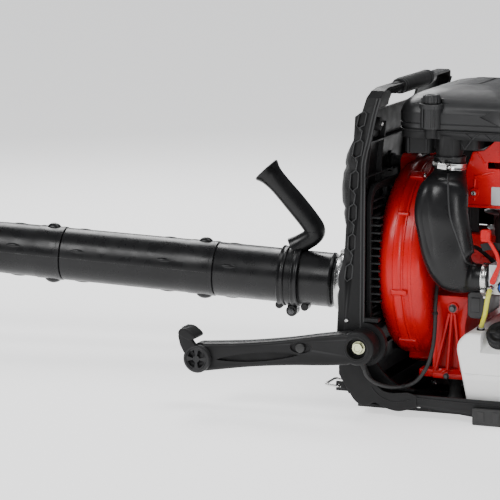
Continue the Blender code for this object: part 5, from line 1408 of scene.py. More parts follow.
def build_tube_grip():
    """Two-ridged clamp and the bent, flared hand grip that stands on it."""
    inner = TUBE_RADIUS + 0.0003
    o = inner + 0.0049
    rows = [(-0.0170, o - 0.0008), (-0.0162, o), (-0.0140, o), (-0.0132, o - 0.0008), (-0.0094, o - 0.0008),
            (-0.0086, o), (-0.0066, o), (-0.0056, o - 0.0006), (-0.0048, o - 0.0024), (0.0048, o - 0.0024),
            (0.0056, o - 0.0006), (0.0066, o), (0.0086, o), (0.0094, o - 0.0008), (0.0132, o - 0.0008),
            (0.0140, o), (0.0162, o), (0.0170, o - 0.0008), (0.0170, inner), (-0.0170, inner)]
    parts = [turned("grip_clamp_band", CLAMP_AT, TUBE_AXIS, rows, 80, ring=True)]
    back = -TUBE_AXIS
    up = ABOVE_TUBE
    foot = CLAMP_AT + up * (TUBE_RADIUS + 0.0022)
    spots = [foot, foot + up * 0.010 + back * 0.014, foot + up * 0.022 + back * 0.030,
             foot + up * 0.033 + back * 0.0340, foot + up * 0.048 + back * 0.0240,
             foot + up * 0.076 - back * 0.0020, foot + up * 0.103 - back * 0.0290,
             foot + up * 0.117 - back * 0.0440, foot + up * 0.1245 - back * 0.0520]
    widths = [0.0185, 0.0158, 0.0158, 0.0174, 0.0174, 0.0176, 0.0172, 0.0192, 0.0236]
    path = smooth_route(spots, 6)
    radii = smooth_route(widths, 6)
    tip = path[-1]
    way = (path[-1] - path[-2]).normalized()
    path += [tip + way * 0.0012, tip + way * 0.0030, tip + way * 0.0042, tip + way * 0.0044]
    radii += [0.0240, 0.0240, 0.0220, 0.0130]
    parts.append(swept("hand_grip_body", path, radii, 44, squash=0.84, hint=back))
    collar = path[17]
    collar_way = (path[18] - path[16]).normalized()
    for offset in (0.0, 0.0042):
        spot = collar + collar_way * offset
        parts.append(soften(turned(f"grip_ring_{offset}", spot - collar_way * 0.0010, collar_way,
                                   [(0.0, 0.0148), (0.0020, 0.0148)], 44), 0.0006))
    low = CLAMP_AT - up * (TUBE_RADIUS + 0.0117) + back * 0.005
    for shift in (-0.0215, 0.0215):
        wing = low + back * shift + up * 0.0085
        parts.append(soften(rod(f"clamp_wing_{shift}", wing - ACROSS_TUBE * 0.0130,
                                wing + ACROSS_TUBE * 0.0130,
                                0.0066, 32), 0.0016, 3))
    lobes = 3

    def lobed(angle):
        return 1.0 - 0.16 * (0.5 - 0.5 * math.cos(lobes * angle)) ** 1.5
    for offset in (-0.0126, 0.0005):
        parts.append(soften(turned(f"clamp_lug_{offset}", low + ACROSS_TUBE * offset, ACROSS_TUBE,
                                   [(0.0, 0.0082), (0.0010, 0.0094), (0.0110, 0.0094), (0.0121, 0.0084)], 44),
                            0.0004))
    turn = Matrix((ACROSS_TUBE, back, up)).transposed()
    parts.append(soften(block("clamp_neck", low + up * 0.0062, (0.0168, 0.0168, 0.0118), turn), 0.0016))
    dress(merge("tube_grip_moulding", parts), "gloss", "tube_grip")
    start = low - ACROSS_TUBE * 0.0190
    knob = turned("grip_knob", start, ACROSS_TUBE,
                  [(0.0, 0.0060, lobed), (0.0008, 0.0074, lobed), (0.0056, 0.0078, lobed),
                   (0.0062, 0.0070, lobed),
                   (0.0063, 0.0030), (0.0330, 0.0030)], 48)
    nut = turned("grip_nut", low + ACROSS_TUBE * 0.0122, ACROSS_TUBE,
                 [(0.0, 0.0055, hexagon), (0.0040, 0.0055, hexagon), (0.0044, 0.0045)], 36)
    dress(merge("grip_clamp_bolt", [knob, nut]), "dark_steel", "grip_bolt")


# ---------------------------------------------------------------- carburettor, tank and fuel line
CARB_BORE = Vector((0.090, -0.140, 0.2140))


def build_carburettor():
    c = CARB_BORE
    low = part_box("carburettor")[0]
    near = low.y
    body = refine("carburettor", 0.0012, 2)
    cover = soften(box("pump_cover", (0.0755, near - 0.0004, 0.1945), (0.0895, near + 0.003, 0.2085)), 0.0008)
    rim = soften(turned("venturi_rim", Vector((0.0605, c.y, c.z)), BACK,
                        [(0.0, 0.0112), (0.0, 0.0164), (0.0030, 0.0170), (0.0032, 0.0112)], 56, ring=True),
                        0.0004)
    seat = Vector((0.1050, near + 0.0005, c.z + 0.0185))
    boss = soften(rod("carb_boss", seat, seat - RIGHT * 0.0022, 0.0052), 0.0007)
    dress(merge("carburettor_casting", [body, cover, rim, boss]), "alloy", "carburettor")
    screws = []
    for x, z in ((0.0775, 0.1965), (0.0875, 0.2065), (0.1050, c.z + 0.0185)):
        screws.append(socket_screw(f"carb_screw_{x}_{z}", Vector((x, near - 0.0012, z)), -RIGHT, 0.0022))
    for z in (0.2105, 0.2165):
        seat = Vector((0.1120, -0.1440, z))
        screws.append(turned(f"mixture_screw_{z}", seat, BACK,
                             [(0.0, 0.0018), (0.0040, 0.0018), (0.0041, 0.0026), (0.0080, 0.0026)], 20))
    dress(merge("carburettor_screws", screws), "steel", body="root")


def build_choke():
    x = joint_point("choke_turn").x
    z = joint_point("choke_turn").z
    shaft = rod("choke_shaft", Vector((x, -0.1655, z)), Vector((x, -0.1310, z)), 0.0021, 24)
    arm = prism("choke_arm", [(x - 0.0040, z + 0.0010), (x - 0.0040, z - 0.0035), (x - 0.0005, z - 0.0052),
                              (x + 0.0040, z - 0.0040), (x + 0.0058, z + 0.0020), (x + 0.0118, z + 0.0220),
                              (x + 0.0122, z + 0.0290), (x + 0.0085, z + 0.0420), (x + 0.0010, z + 0.0540),
                              (x - 0.0040, z + 0.0610), (x - 0.0100, z + 0.0610), (x - 0.0040, z + 0.0520),
                              (x + 0.0036, z + 0.0395), (x + 0.0068, z + 0.0280), (x + 0.0066, z + 0.0230)],
                              1,
                -0.1660, -0.1625)
    tab = prism("choke_tab", rounded((x - 0.0180, z + 0.058), (x - 0.0040, z + 0.076), 0.0038, 5), 1,
                -0.1700, -0.1590)
    disc = rod("choke_disc", Vector((x, -0.1400, z - 0.0006)), Vector((x, -0.1400, z + 0.0006)), 0.0071, 40)
    parts = [shaft, soften(arm, 0.0008), soften(tab, 0.0016, 3), disc]
    for i in range(3):
        parts.append(soften(block(f"tab_rib_{i}", Vector((x - 0.0160 + i * 0.0048, -0.1702, z + 0.067)),
                                  (0.0016, 0.0012, 0.012)), 0.0004, 1))
    dress(merge("choke_control", parts), "red", "choke_lever")


def build_arc_plate():
    """Black arc beside the choke lever's tab; it carries no marks."""
    c = joint_point("choke_turn")
    inside = []
    outside = []
    for i in range(13):
        angle = math.radians(112.0 - 92.0 * i / 12)
        way = Vector((math.cos(angle), 0.0, math.sin(angle)))
        for line, reach in ((inside, 0.0455), (outside, 0.0565)):
            line.append((c.x + way.x * reach, c.z + way.z * reach))
    plate = prism("choke_arc", inside + outside[::-1], 1, -0.1590, -0.1570)
    stay = prism("choke_arc_stay", [(0.1000, 0.2300), (0.1090, 0.2300), (0.1240, 0.2480), (0.1170, 0.2500)],
                 1,
                 -0.1588, -0.1568)
    dress(merge("choke_scale", [soften(plate, 0.0006), soften(stay, 0.0006)]), "black", body="root")


def build_fuel_parts():
    dress(refine("throttle_valve", 0.0004, 1), "steel", "throttle_valve")
    port = Vector((0.090, -0.1145, 0.2140))
    onward = Vector((0.0, 0.075, 0.0))
    path = hermite(port, onward, Vector((0.065, -0.0478, 0.2840)), onward, 24)
    radii = [0.0140 - (0.0012 if 0.2 < i / 24 < 0.8 and i % 3 == 1 else 0.0) for i in range(25)]
    manifold = swept("manifold_tube", path, radii, 40, inner=0.0100, ends=(onward, onward))
    dress(manifold, "rubber", "intake_manifold")
    low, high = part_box("primer_bulb")
    seat = Vector(((low.x + high.x) / 2, high.y, (low.z + high.z) / 2))
    rows = [(0.0, 0.0084), (0.0040, 0.0084), (0.0052, 0.0082), (0.0072, 0.0074), (0.0090, 0.0056),
            (0.0102, 0.0032),
            (0.0105, 0.0010)]
    dress(turned("priming_bulb", seat, -RIGHT, rows, 48), "blue", "primer_bulb")
    collar = band("primer_collar", seat - RIGHT * -0.0004, seat - RIGHT * 0.0030, 0.0112, 0.0089, 48)
    dress(soften(collar, 0.0006), "black", body="root")
    bracket = refine("tank_bracket", 0.0030, 3)
    low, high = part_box("tank_bracket")
    web = soften(box("bracket_rib", (low.x + 0.006, low.y - 0.0012, low.z + 0.010),
                     (high.x - 0.006, low.y + 0.003, high.z - 0.010)), 0.0012)
    dress(merge("bracket_body", [bracket, web]), "grey", "tank_bracket")


def build_tank():
    low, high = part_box("fuel_tank")
    floor_z = low.z
    outer = [(0.046, floor_z), (0.184, floor_z), (0.192, 0.030), (0.192, 0.122), (0.180, 0.134),
             (0.042, 0.134),
             (0.0285, 0.121), (0.026, 0.108)]
    tank = soften(prism("tank_blank", outer, 1, low.y, high.y), 0.0105, 6, 12.0)
    flat = [(-0.175, 0.0930), (-0.175, 0.155), (-0.113, 0.155)]
    cut(tank, prism("tank_slant", flat, 0, 0.0640, 0.1200))
    soften(tank, 0.0016, 3, 32.0)
    cut(tank, rod("tank_mouth", CAP_SEAT - CAP_AXIS * 0.03, CAP_SEAT + CAP_AXIS * 0.02, 0.0130, 40))
    parts = [tank, band("tank_neck", CAP_SEAT - CAP_AXIS * 0.0080, CAP_SEAT + CAP_AXIS * 0.0060, 0.0190,
                        0.0130, 56)]
    seam_z = 0.072
    line = [Vector((x, y, seam_z)) for x, y in rounded((low.x + 0.0088, low.y - 0.0002),
                                                       (high.x + 0.0002, high.y + 0.0002), 0.010, 6)]
    line.append(line[0])
    parts.append(bead("tank_seam", line, 0.0010, 10))
    neck = [(0.0055, 0.0180), (0.0060, 0.0196), (0.0078, 0.0196), (0.0080, 0.0170)]
    parts.append(turned("tank_thread", CAP_SEAT, CAP_AXIS, neck, 56))
    dress(merge("tank_shell", parts), "tank", "fuel_tank")
    start = CAP_SEAT + CAP_AXIS * 0.0065

    def knurl(angle):
        return 1.0 - 0.045 * (0.5 - 0.5 * math.cos(30.0 * angle))
    rows = [(0.0, 0.0206), (0.0010, 0.0215), (0.0022, 0.0215, knurl), (0.0118, 0.0215, knurl),
            (0.0130, 0.0212),
            (0.0146, 0.0200), (0.0158, 0.0184), (0.0160, 0.0150), (0.0152, 0.0140), (0.0150, 0.0090),
            (0.0160, 0.0080), (0.0170, 0.0060)]
    cap = [turned("cap_body", start, CAP_AXIS, rows, 120)]
    side, up = across(CAP_AXIS)
    turn = Matrix((side, up, CAP_AXIS)).transposed()
    cap.append(soften(block("cap_bar", start + CAP_AXIS * 0.0152, (0.0300, 0.0060, 0.0036), turn), 0.0012))
    dress(merge("tank_cap", cap), "black", "fuel_cap")


def build_fuel_line():
    route = [Vector((0.0780, -0.1618, 0.2020)), Vector((0.0772, -0.1665, 0.1965)),
             Vector((0.0745, -0.1665, 0.1850)), Vector((0.0690, -0.1580, 0.1640)),
             Vector((0.0610, -0.1440, 0.1470)), Vector((0.0560, -0.1350, 0.1372))]
    path = smooth_route(route, 10)
    dress(swept("fuel_hose_run", path, [0.0036] * len(path), 24, hint=RIGHT), "hose", "fuel_line")
    clips = []
    for at, step in ((2, 1), (len(path) - 5, 1)):
        way = (path[at + step] - path[at]).normalized()
        clips.append(soften(band(f"hose_clip_{at}", path[at] - way * 0.0020, path[at] + way * 0.0020, 0.0048,
                                 0.0034, 28), 0.0004))
    dress(merge("fuel_clips", clips), "steel", body="root")
    foot = Vector((0.0556, -0.1345, 0.1338))
    way = (path[-1] - path[-2]).normalized()
    grommet = turned("tank_grommet", foot, -way, [(0.0, 0.0062), (0.0022, 0.0062), (0.0030, 0.0052),
                                                  (0.0044, 0.0044)], 36)
    elbow = turned("fuel_barb", path[0] + Vector((0.0, 0.0052, 0.0008)), (path[0] - path[0] - RIGHT),
                   [(0.0, 0.0032), (0.0022, 0.0032), (0.0026, 0.0040), (0.0048, 0.0040), (0.0056, 0.0030)],
                   28)
    dress(merge("fuel_ends", [grommet, elbow]), "black", body="root")


# ---------------------------------------------------------------- air cleaner and duct
CLEANER_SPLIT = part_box("cleaner_cover")[0].z
KNOB_X = joint_point("knob_left_turn").x
KNOB_Y = 0.130


def build_cleaner_case():
    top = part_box("cleaner_case")[1].z
    case = refine("cleaner_case", 0.0018, 3, 34.0)
    parts = [case]
    for side in (-1, 1):
        y = side * 0.1312
        for i in range(6):
            x = 0.030 + 0.0145 * i
            lean = 0.0062 if i % 2 else -0.0062
            parts.append(bead(f"case_strut_{side}_{i}",
                              [Vector((x - lean, y, 0.4172)), Vector((x + lean, y, top - 0.002))],
                              0.0012))
    for x in (-0.0800, 0.1240):
        for i in range(9):
            y = -0.088 + 0.022 * i
            parts.append(soften(block(f"case_rib_{x}_{i}", Vector((x, y, (0.4155 + top) / 2)),
                                      (0.0024, 0.0026, top - 0.4165)), 0.0007))
    near = -0.127
    for i, (x, z) in enumerate(((-0.062, 0.4035), (-0.034, 0.4035))):
        parts.append(soften(block(f"deep_rib_{i}", Vector((x, near, z)), (0.0030, 0.0030, 0.0220)), 0.0008))
    for side in (-1, 1):
        for i, (x0, x1) in enumerate(((0.0130, 0.0225), (0.0330, 0.0225))):
            parts.append(bead(f"shelf_strut_{side}_{i}", [Vector((x0, side * 0.1180, 0.4150)),
                                                          Vector((x1, side * 0.1180, 0.3995))], 0.0013))
    edge = [Vector((x, y, top - 0.0030)) for x, y in rounded((-0.0805, -0.1315), (0.1245, 0.1315), 0.0305, 8)]
    edge.append(edge[0])
    parts.append(bead("case_rim", edge, 0.0016, 10))
    dress(merge("cleaner_tray", parts), "black", "cleaner_case")


def cover_loop(inset, z, steps=10):
    """Rounded rectangle round the cleaner cover, at an inset and a height."""
    corner = max(0.045 - inset * 0.3, 0.01)
    pairs = rounded((-0.084 + inset, -0.135 + inset), (0.128 - inset, 0.135 - inset), corner, steps)
    return [Vector((x, y, z)) for x, y in pairs]


def build_cleaner_cover():
    """Domed cover with a post and a pocket for each of its knobs."""
    s = CLEANER_SPLIT
    outside = [(0.0006, s), (0.0, s + 0.0006), (0.0, 0.4365), (0.0010, 0.4372), (0.0010, 0.4378),
               (0.0, 0.4385),
               (0.0, 0.4520)]
    crown = smooth_route([Vector((0.0, 0.4520, 0)), Vector((0.0045, 0.4635, 0)), Vector((0.0175, 0.4745, 0)),
                          Vector((0.0420, 0.4838, 0)), Vector((0.0750, 0.4890, 0))], 4)
    outside += [(p.x, p.y) for p in crown[1:]] + [(0.0900, 0.4895)]
    inside = [(0.0035, s), (0.0035, 0.4520), (0.0085, 0.4620), (0.0210, 0.4720), (0.0440, 0.4808),
              (0.0750, 0.4860), (0.0900, 0.4862)]
    loops = [cover_loop(inset, z) for inset, z in inside[::-1]]
    loops += [cover_loop(inset, z) for inset, z in outside]
    cover = skin("cover_dome", loops)
    for side in (-1, 1):
        low = Vector((KNOB_X, side * KNOB_Y, s))
        post = turned(f"cover_post_{side}", low, UP, [(0.0, 0.0158), (0.0006, 0.0164), (0.0370, 0.0164)], 48)
        join(cover, post)
        join(cover, turned(f"pocket_wall_{side}", low, UP,
                           [(0.0300, 0.0182), (0.0438, 0.0182), (0.0442, 0.0178)], 48))
        cut(cover, rod(f"knob_pocket_{side}", low + UP * 0.0370, low + UP * 0.0600, 0.0152, 48))
        near = sorted((side * (KNOB_Y - 0.004), side * (KNOB_Y + 0.030)))
        cut(cover, box(f"pocket_side_{side}", (KNOB_X - 0.025, near[0], s + 0.0370),
                       (KNOB_X + 0.025, near[1], s + 0.0600)))
        near = sorted((side * 0.1325, side * 0.150))
        facet = prism(f"facet_{side}",
                      [(0.0500, 0.4500), (0.0860, 0.4350), (0.1400, 0.4350), (0.1400, 0.4640),
                                        (0.0760, 0.4640)], 1, *near)
        cut(cover, facet)
        cut(cover, rod(f"cover_hole_{side}", low - UP * 0.01, low + UP * 0.05, 0.0036, 24))
    soften(cover, 0.0012, 2, 32.0)
    parts = [cover]
    for side in (-1, 1):
        for i in range(4):
            x = KNOB_X - 0.0090 + 0.0060 * i
            parts.append(soften(block(f"post_rib_{side}_{i}",
                                      Vector((x, side * (KNOB_Y + 0.0148), s + 0.018)),
                                      (0.0018, 0.0040, 0.032)), 0.0006))
    dress(merge("cleaner_dome", parts), "grey", "cleaner_cover")


def build_knobs():
    def ribs(angle):
        return 1.0 - 0.085 * (0.5 - 0.5 * math.cos(14.0 * angle))
    for node in ("knob_left", "knob_right"):
        low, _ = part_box(node)
        axis_point = joint_point(f"{node}_turn")
        start = Vector((axis_point.x, axis_point.y, low.z))
        rows = [(0.0, 0.0020), (0.0010, 0.0031), (0.0372, 0.0031), (0.0374, 0.0126), (0.0382, 0.0136, ribs),
                (0.0470, 0.0132, ribs), (0.0488, 0.0122, ribs), (0.0499, 0.0106), (0.0500, 0.0070),
                (0.0490, 0.0062),
                (0.0490, 0.0020)]
        dress(soften(turned(f"{node}_head", start, UP, rows, 112), 0.0003, 1, 45.0), "grey", node)


def build_filter():
    low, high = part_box("filter_element")
    outer = rounded((low.x, low.y), (high.x, high.y), 0.020, 10)
    inner = rounded((low.x + 0.022, low.y + 0.022), (high.x - 0.022, high.y - 0.022), 0.010, 10)
    pleats = 4
    outline = []
    inline = []
    for ring, out in ((outer, outline), (inner, inline)):
        closed = [Vector((*pair, 0.0)) for pair in ring] + [Vector((*ring[0], 0.0))]
        total = sum((b - a).length for a, b in zip(closed, closed[1:]))
        count = 220
        walked = 0.0
        spot = 0
        for k in range(count):
            target = total * k / count
            while walked + (closed[spot + 1] - closed[spot]).length < target:
                walked += (closed[spot + 1] - closed[spot]).length
                spot += 1
            part = closed[spot + 1] - closed[spot]
            share = (target - walked) / part.length
            here = closed[spot] + part * share
            normal = Vector((part.y, -part.x, 0.0)).normalized()
            push = -0.0028 if k % pleats < pleats // 2 else 0.0
            here += normal * push if ring is outer else -normal * push
            out.append((here.x, here.y))
    paper = skin("filter_pleats", [[Vector((x, y, z)) for x, y in line] for line, z in
                                   ((inline, low.z + 0.003), (outline, low.z + 0.003),
                                    (outline, high.z - 0.003),
                                    (inline, high.z - 0.003))], ring=True)
    dress(paper, "paper", "filter_element")
    ends = []
    for i, z in enumerate((low.z, high.z - 0.004)):
        plate = prism(f"filter_end_{i}", rounded((low.x, low.y), (high.x, high.y), 0.020, 8), 2, z, z + 0.004)
        cut(plate,
            prism(f"filter_eye_{i}", rounded((low.x + 0.024, low.y + 0.024), (high.x - 0.024, high.y - 0.024),
                                                    0.010, 8), 2, z - 0.01, z + 0.02))
        ends.append(soften(plate, 0.0010))
    dress(merge("filter_end_caps", ends), "rubber", body="root")


DUCT_TOP = Vector((-0.0020, -0.1130, 0.3760))


def duct_loops(inset, sides, steps):
    """Loops down the duct, smooth between stations, with a dent on the outside."""
    c = CARB_BORE
    # centre, direction, half width, thickness over width, depth of the dent
    stations = [(Vector((DUCT_TOP.x, DUCT_TOP.y, 0.3895)), -UP, 0.0236, 1.00, 0.0),
                (Vector((DUCT_TOP.x, DUCT_TOP.y, 0.3670)), -UP, 0.0236, 1.00, 0.0),
                (Vector((0.000, -0.1470, 0.3440)), Vector((0.0, -0.35, -1.0)), 0.0370, 0.65, 0.3),
                (Vector((0.000, -0.158, 0.3100)), -UP, 0.0410, 0.56, 1.0),
                (Vector((0.006, -0.158, 0.2750)), Vector((0.15, 0.0, -1.0)), 0.0410, 0.55, 1.0),
                (Vector((0.0130, -0.158, 0.2450)), Vector((0.3, 0.0, -1.0)), 0.0395, 0.58, 0.5),
                (Vector((0.0215, -0.1550, 0.2240)), Vector((1.0, 0.1, -1.0)), 0.0345, 0.68, 0.0),
                (Vector((0.0350, -0.1470, 0.2155)), Vector((1.0, 0.2, -0.35)), 0.0270, 0.85, 0.0),
                (Vector((0.0480, c.y, c.z)), BACK, 0.0207, 1.00, 0.0),
                (Vector((0.0725, c.y, c.z)), BACK, 0.0207, 1.00, 0.0)]
    centres = smooth_route([s[0] for s in stations], steps)
    ways = smooth_route([s[1].normalized() for s in stations], steps)
    wides = smooth_route([s[2] for s in stations], steps)
    flats = smooth_route([s[3] for s in stations], steps)
    dents = smooth_route([s[4] for s in stations], steps)
    loops = []
    for centre, way, wide, flat, dent in zip(centres, ways, wides, flats, dents):
        side, up = across(way, RIGHT)
        loop = []
        for i in range(sides):
            angle = 2.0 * math.pi * i / sides
            off = math.atan2(math.sin(angle + math.pi / 2), math.cos(angle + math.pi / 2))
            fall = 0.0052 * dent * math.exp(-((off - 0.50) / 0.17) ** 2) * (1.0 if inset == 0.0 else 0.0)
            reach_wide = wide - inset
            reach_thick = wide * flat - inset
            loop.append(centre + side * (reach_wide * math.cos(angle))
                        + up * ((reach_thick - fall) * math.sin(angle)))
        loops.append(loop)
    return loops, centres, ways


def build_duct():
    outer, centres, ways = duct_loops(0.0, 64, 7)
    inner, _, _ = duct_loops(0.0025, 64, 7)
    shell = skin("duct_shell", outer + inner[::-1], ring=True)
    shade(shell, 62.0)
    parts = [shell]
    count = len(outer)
    seam = []
    for i in range(8, count - 6):
        share = (i - 8) / (count - 15)
        spot = 64 * (0.710 - 0.150 * share)
        turn = int(spot)
        seam.append(outer[i][turn].lerp(outer[i][turn + 1], spot - turn))
    smooth = seam[:1] + [(a + b * 2 + c) / 4 for a, b, c in zip(seam, seam[1:], seam[2:])] + seam[-1:]
    dress(bead("duct_seam", smooth, 0.0016, 10), "grey", body="root")
    opposite = [outer[i][int(round(64 * 0.30)) % 64] for i in range(8, count - 6)]
    parts.append(bead("duct_seam_far", opposite, 0.0009, 8))
    for centre, way, radius in ((centres[0], ways[0], 0.0236), (centres[-1], ways[-1], 0.0207)):
        inward = 1.0 if centre is centres[0] else -1.0
        at = centre + way * inward * 0.0016
        parts.append(soften(band(f"duct_lip_{radius}", at - way * 0.0014, at + way * 0.0014, radius + 0.0010,
                                 radius - 0.0015, 56), 0.0005))
    dress(merge("intake_duct_shell", parts), "gloss", "intake_duct")


def build_duct_clamps():
    dress(worm_clamp("duct_band_upper", DUCT_TOP.copy(), Vector((0.10, 0.0, 1.0)), 0.0240, 0.0090,
                     Vector((-0.10, -1.0, 0.0))), "steel",
          "duct_clamp_upper")
    low = Vector((0.0655, CARB_BORE.y, CARB_BORE.z))
    dress(worm_clamp("duct_band_lower", low, BACK, 0.0210, 0.0080, Vector((0.0, -0.75, -1.0))), "steel",
          "duct_clamp_lower")


# ---------------------------------------------------------------- throttle arm
ARM_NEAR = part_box("hip_arm")[0].y
ARM_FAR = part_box("hip_arm")[1].y


def arm_point(distance, height):
    """X and Z at a distance along the throttle arm and a height above its line."""
    along = (ARM_END - ARM_PIVOT)
    along.y = 0.0
    along.normalize()
    point = ARM_PIVOT + along * distance + Vector((along.z, 0.0, -along.x)) * height
    return point.x, point.z


def arm_outline(length, inset=0.0):
    """Side outline of the throttle arm, drawn in by the inset."""
    hub = 0.026 - inset
    end = 0.0215 - inset
    upper = [(-hub * math.cos(math.radians(120.0 * i / 16)), hub * math.sin(math.radians(120.0 * i / 16)))
             for i in range(17)]
    waist = smooth_route([Vector((0.0130, 0.0240, 0)), Vector((0.060, 0.0225, 0)), Vector((0.110, 0.0196, 0)),
                          Vector((0.170, 0.0186, 0)), Vector((0.215, 0.0198, 0)),
                          Vector((length - 0.0037, 0.0213, 0))], 5)
    upper += [(p.x, p.y - inset) for p in waist[1:-1]]
    upper += [(length + end * math.cos(math.radians(100.0 - 100.0 * i / 12)),
               end * math.sin(math.radians(100.0 - 100.0 * i / 12))) for i in range(13)]
    lower = [(along, -height) for along, height in upper[::-1] if height > 1e-5]
    return [arm_point(along, height) for along, height in upper + lower]


def lens_outline(start, end, bulge, height, steps=18):
    """An almond on the arm: two arcs that meet in points."""
    top = []
    low = []
    for i in range(steps + 1):
        t = i / steps
        along = start + (end - start) * t
        swell = bulge * math.sin(math.pi * t) ** 0.75
        top.append(arm_point(along, height + swell))
        if 0 < i < steps:
            low.append(arm_point(along, height - swell * 0.9))
    return top + low[::-1]


def build_arm():
    length = (ARM_END - ARM_PIVOT).length
    arm = prism("arm_moulding", arm_outline(length), 1, ARM_NEAR, ARM_FAR)
    soften(arm, 0.0052, 5, 40.0)
    near = Vector((ARM_PIVOT.x, ARM_NEAR, ARM_PIVOT.z))
    cut(arm, rod("arm_recess", near - RIGHT * 0.005, near + RIGHT * 0.012, 0.0155, 56))
    cut(arm, rod("arm_bore", near, near + RIGHT * 0.06, 0.0053, 32))
    low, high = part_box("stop_switch")
    spot = Vector(((low.x + high.x) / 2, ARM_NEAR, (low.z + high.z) / 2))
    cut(arm, rod("switch_room", spot - RIGHT * 0.005, spot + RIGHT * 0.007, 0.0078, 40))
    shaft = Vector((ARM_END.x, ARM_NEAR, ARM_END.z))
    cut(arm, rod("lever_room", shaft - RIGHT * 0.005, shaft + RIGHT * 0.018, 0.0058, 32))
    cut(arm, prism("arm_almond", lens_outline(0.092, 0.226, 0.0072, -0.0040), 1, ARM_NEAR - 0.002,
                   ARM_NEAR + 0.0060))
    oval = [(spot.x + 0.0165 * math.cos(a), spot.z + 0.0078 * math.sin(a) - 0.0006 * math.cos(a))
            for a in (2.0 * math.pi * i / 48 for i in range(48))]
    cut(arm, prism("switch_oval", oval, 1, ARM_NEAR - 0.002, ARM_NEAR + 0.0024))
    shade(arm, 30.0)
    soften(arm, 0.0007, 2, 40.0)
    parts = [arm]
    rim = [Vector((near.x + 0.0182 * math.cos(a), ARM_NEAR + 0.0002, near.z + 0.0182 * math.sin(a)))
           for a in (2.0 * math.pi * i / 48 for i in range(48))]
    rim.append(rim[0])
    parts.append(bead("arm_hub_ring", rim, 0.0010, 10))
    ring = [Vector((spot.x + 0.0172 * math.cos(a), ARM_NEAR + 0.0004, spot.z + 0.0086 * math.sin(a)))
            for a in (2.0 * math.pi * i / 48 for i in range(48))]
    ring.append(ring[0])
    parts.append(bead("switch_rim", ring, 0.0012, 10))
    middle = (ARM_NEAR + ARM_FAR) / 2
    for sign in (1.0, -1.0):
        line = []
        for along, height in ((0.013, 0.0240), (0.060, 0.0227), (0.110, 0.0198), (0.170, 0.0188),
                              (0.215, 0.0200), (length - 0.004, 0.0214)):
            x, z = arm_point(along, height * sign)
            line.append(Vector((x, middle, z)))
        parts.append(bead(f"arm_seam_{sign}", smooth_route(line, 5), 0.0006, 8))
    dress(merge("control_arm", parts), "black", "hip_arm")
    head = near + RIGHT * 0.0115
    rows = [(0.0, 0.0050), (0.0, 0.0098), (-0.0016, 0.0098), (-0.0018, 0.0086, hexagon),
            (-0.0074, 0.0086, hexagon),
            (-0.0080, 0.0074), (-0.0078, 0.0052), (-0.0066, 0.0042), (-0.0066, 0.0010)]
    top = turned("arm_bolt_head", head, RIGHT, rows[::-1], 48)
    shank = rod("arm_bolt_shank", head - RIGHT * 0.0004, head + RIGHT * 0.0340, 0.0050, 32)
    dress(merge("arm_pivot_bolt", [top, shank]), "zinc", "arm_bolt")
    rows = [(0.0, 0.0072), (0.0062, 0.0072), (0.0072, 0.0066), (0.0078, 0.0052), (0.0080, 0.0020)]
    button = turned("switch_button", spot + RIGHT * 0.0040, -RIGHT, rows, 40)
    dress(button, "rubber", "stop_switch")


def build_lever():
    shaft = Vector((ARM_END.x, ARM_NEAR, ARM_END.z))
    out = -RIGHT
    rows = [(0.0, 0.0055), (0.0153, 0.0055), (0.0153, 0.0205), (0.0160, 0.0214), (0.0225, 0.0215),
            (0.0243, 0.0208),
            (0.0254, 0.0192), (0.0254, 0.0172), (0.0244, 0.0160), (0.0244, 0.0010)]
    disc = turned("lever_disc", shaft + RIGHT * 0.0150, out, rows, 72)
    face = ARM_NEAR - 0.0092
    for i in range(4):
        start = math.radians(90.0 * i + 14.0)
        stop = math.radians(90.0 * i + 76.0)
        arc = []
        for reach, angles in ((0.0142, range(9)), (0.0052, range(8, -1, -1))):
            for k in angles:
                angle = start + (stop - start) * k / 8
                arc.append((shaft.x + reach * math.cos(angle), shaft.z + reach * math.sin(angle)))
        cut(disc, prism(f"disc_slot_{i}", arc, 1, face - 0.004, face + 0.0052))
    soften(disc, 0.0006, 2, 35.0)
    x = ARM_END.x
    z = ARM_END.z
    blade = prism("lever_blade", [(x + 0.003, z + 0.016), (x - 0.010, z + 0.015), (x - 0.0195, z + 0.007),
                                  (x - 0.0265, z + 0.020), (x - 0.0300, z + 0.034), (x - 0.0250, z + 0.042),
                                  (x - 0.0150, z + 0.044), (x - 0.0080, z + 0.030)], 1, ARM_NEAR - 0.0100,
                  ARM_NEAR - 0.0010)
    pad = prism("lever_pad", [(x - 0.0300, z + 0.0350), (x - 0.0200, z + 0.0302), (x - 0.0120, z + 0.0270),
                              (x - 0.0050, z + 0.0290), (x - 0.0005, z + 0.0330), (x - 0.0060, z + 0.0390),
                              (x - 0.0130, z + 0.0440), (x - 0.0190, z + 0.0465), (x - 0.0250, z + 0.0460),
                              (x - 0.0298, z + 0.0410)], 1, ARM_NEAR - 0.0105, ARM_NEAR + 0.0260)
    parts = [disc, soften(blade, 0.0018, 3), soften(pad, 0.0030, 4, 20.0)]
    for i in range(4):
        y = ARM_NEAR - 0.0040 + 0.0070 * i
        parts.append(soften(block(f"pad_rib_{i}", Vector((x - 0.0215, y, z + 0.0466)),
                                  (0.0080, 0.0016, 0.0014)),
                            0.0005, 1))
    dress(merge("throttle_trigger", parts), "black", "throttle_lever")


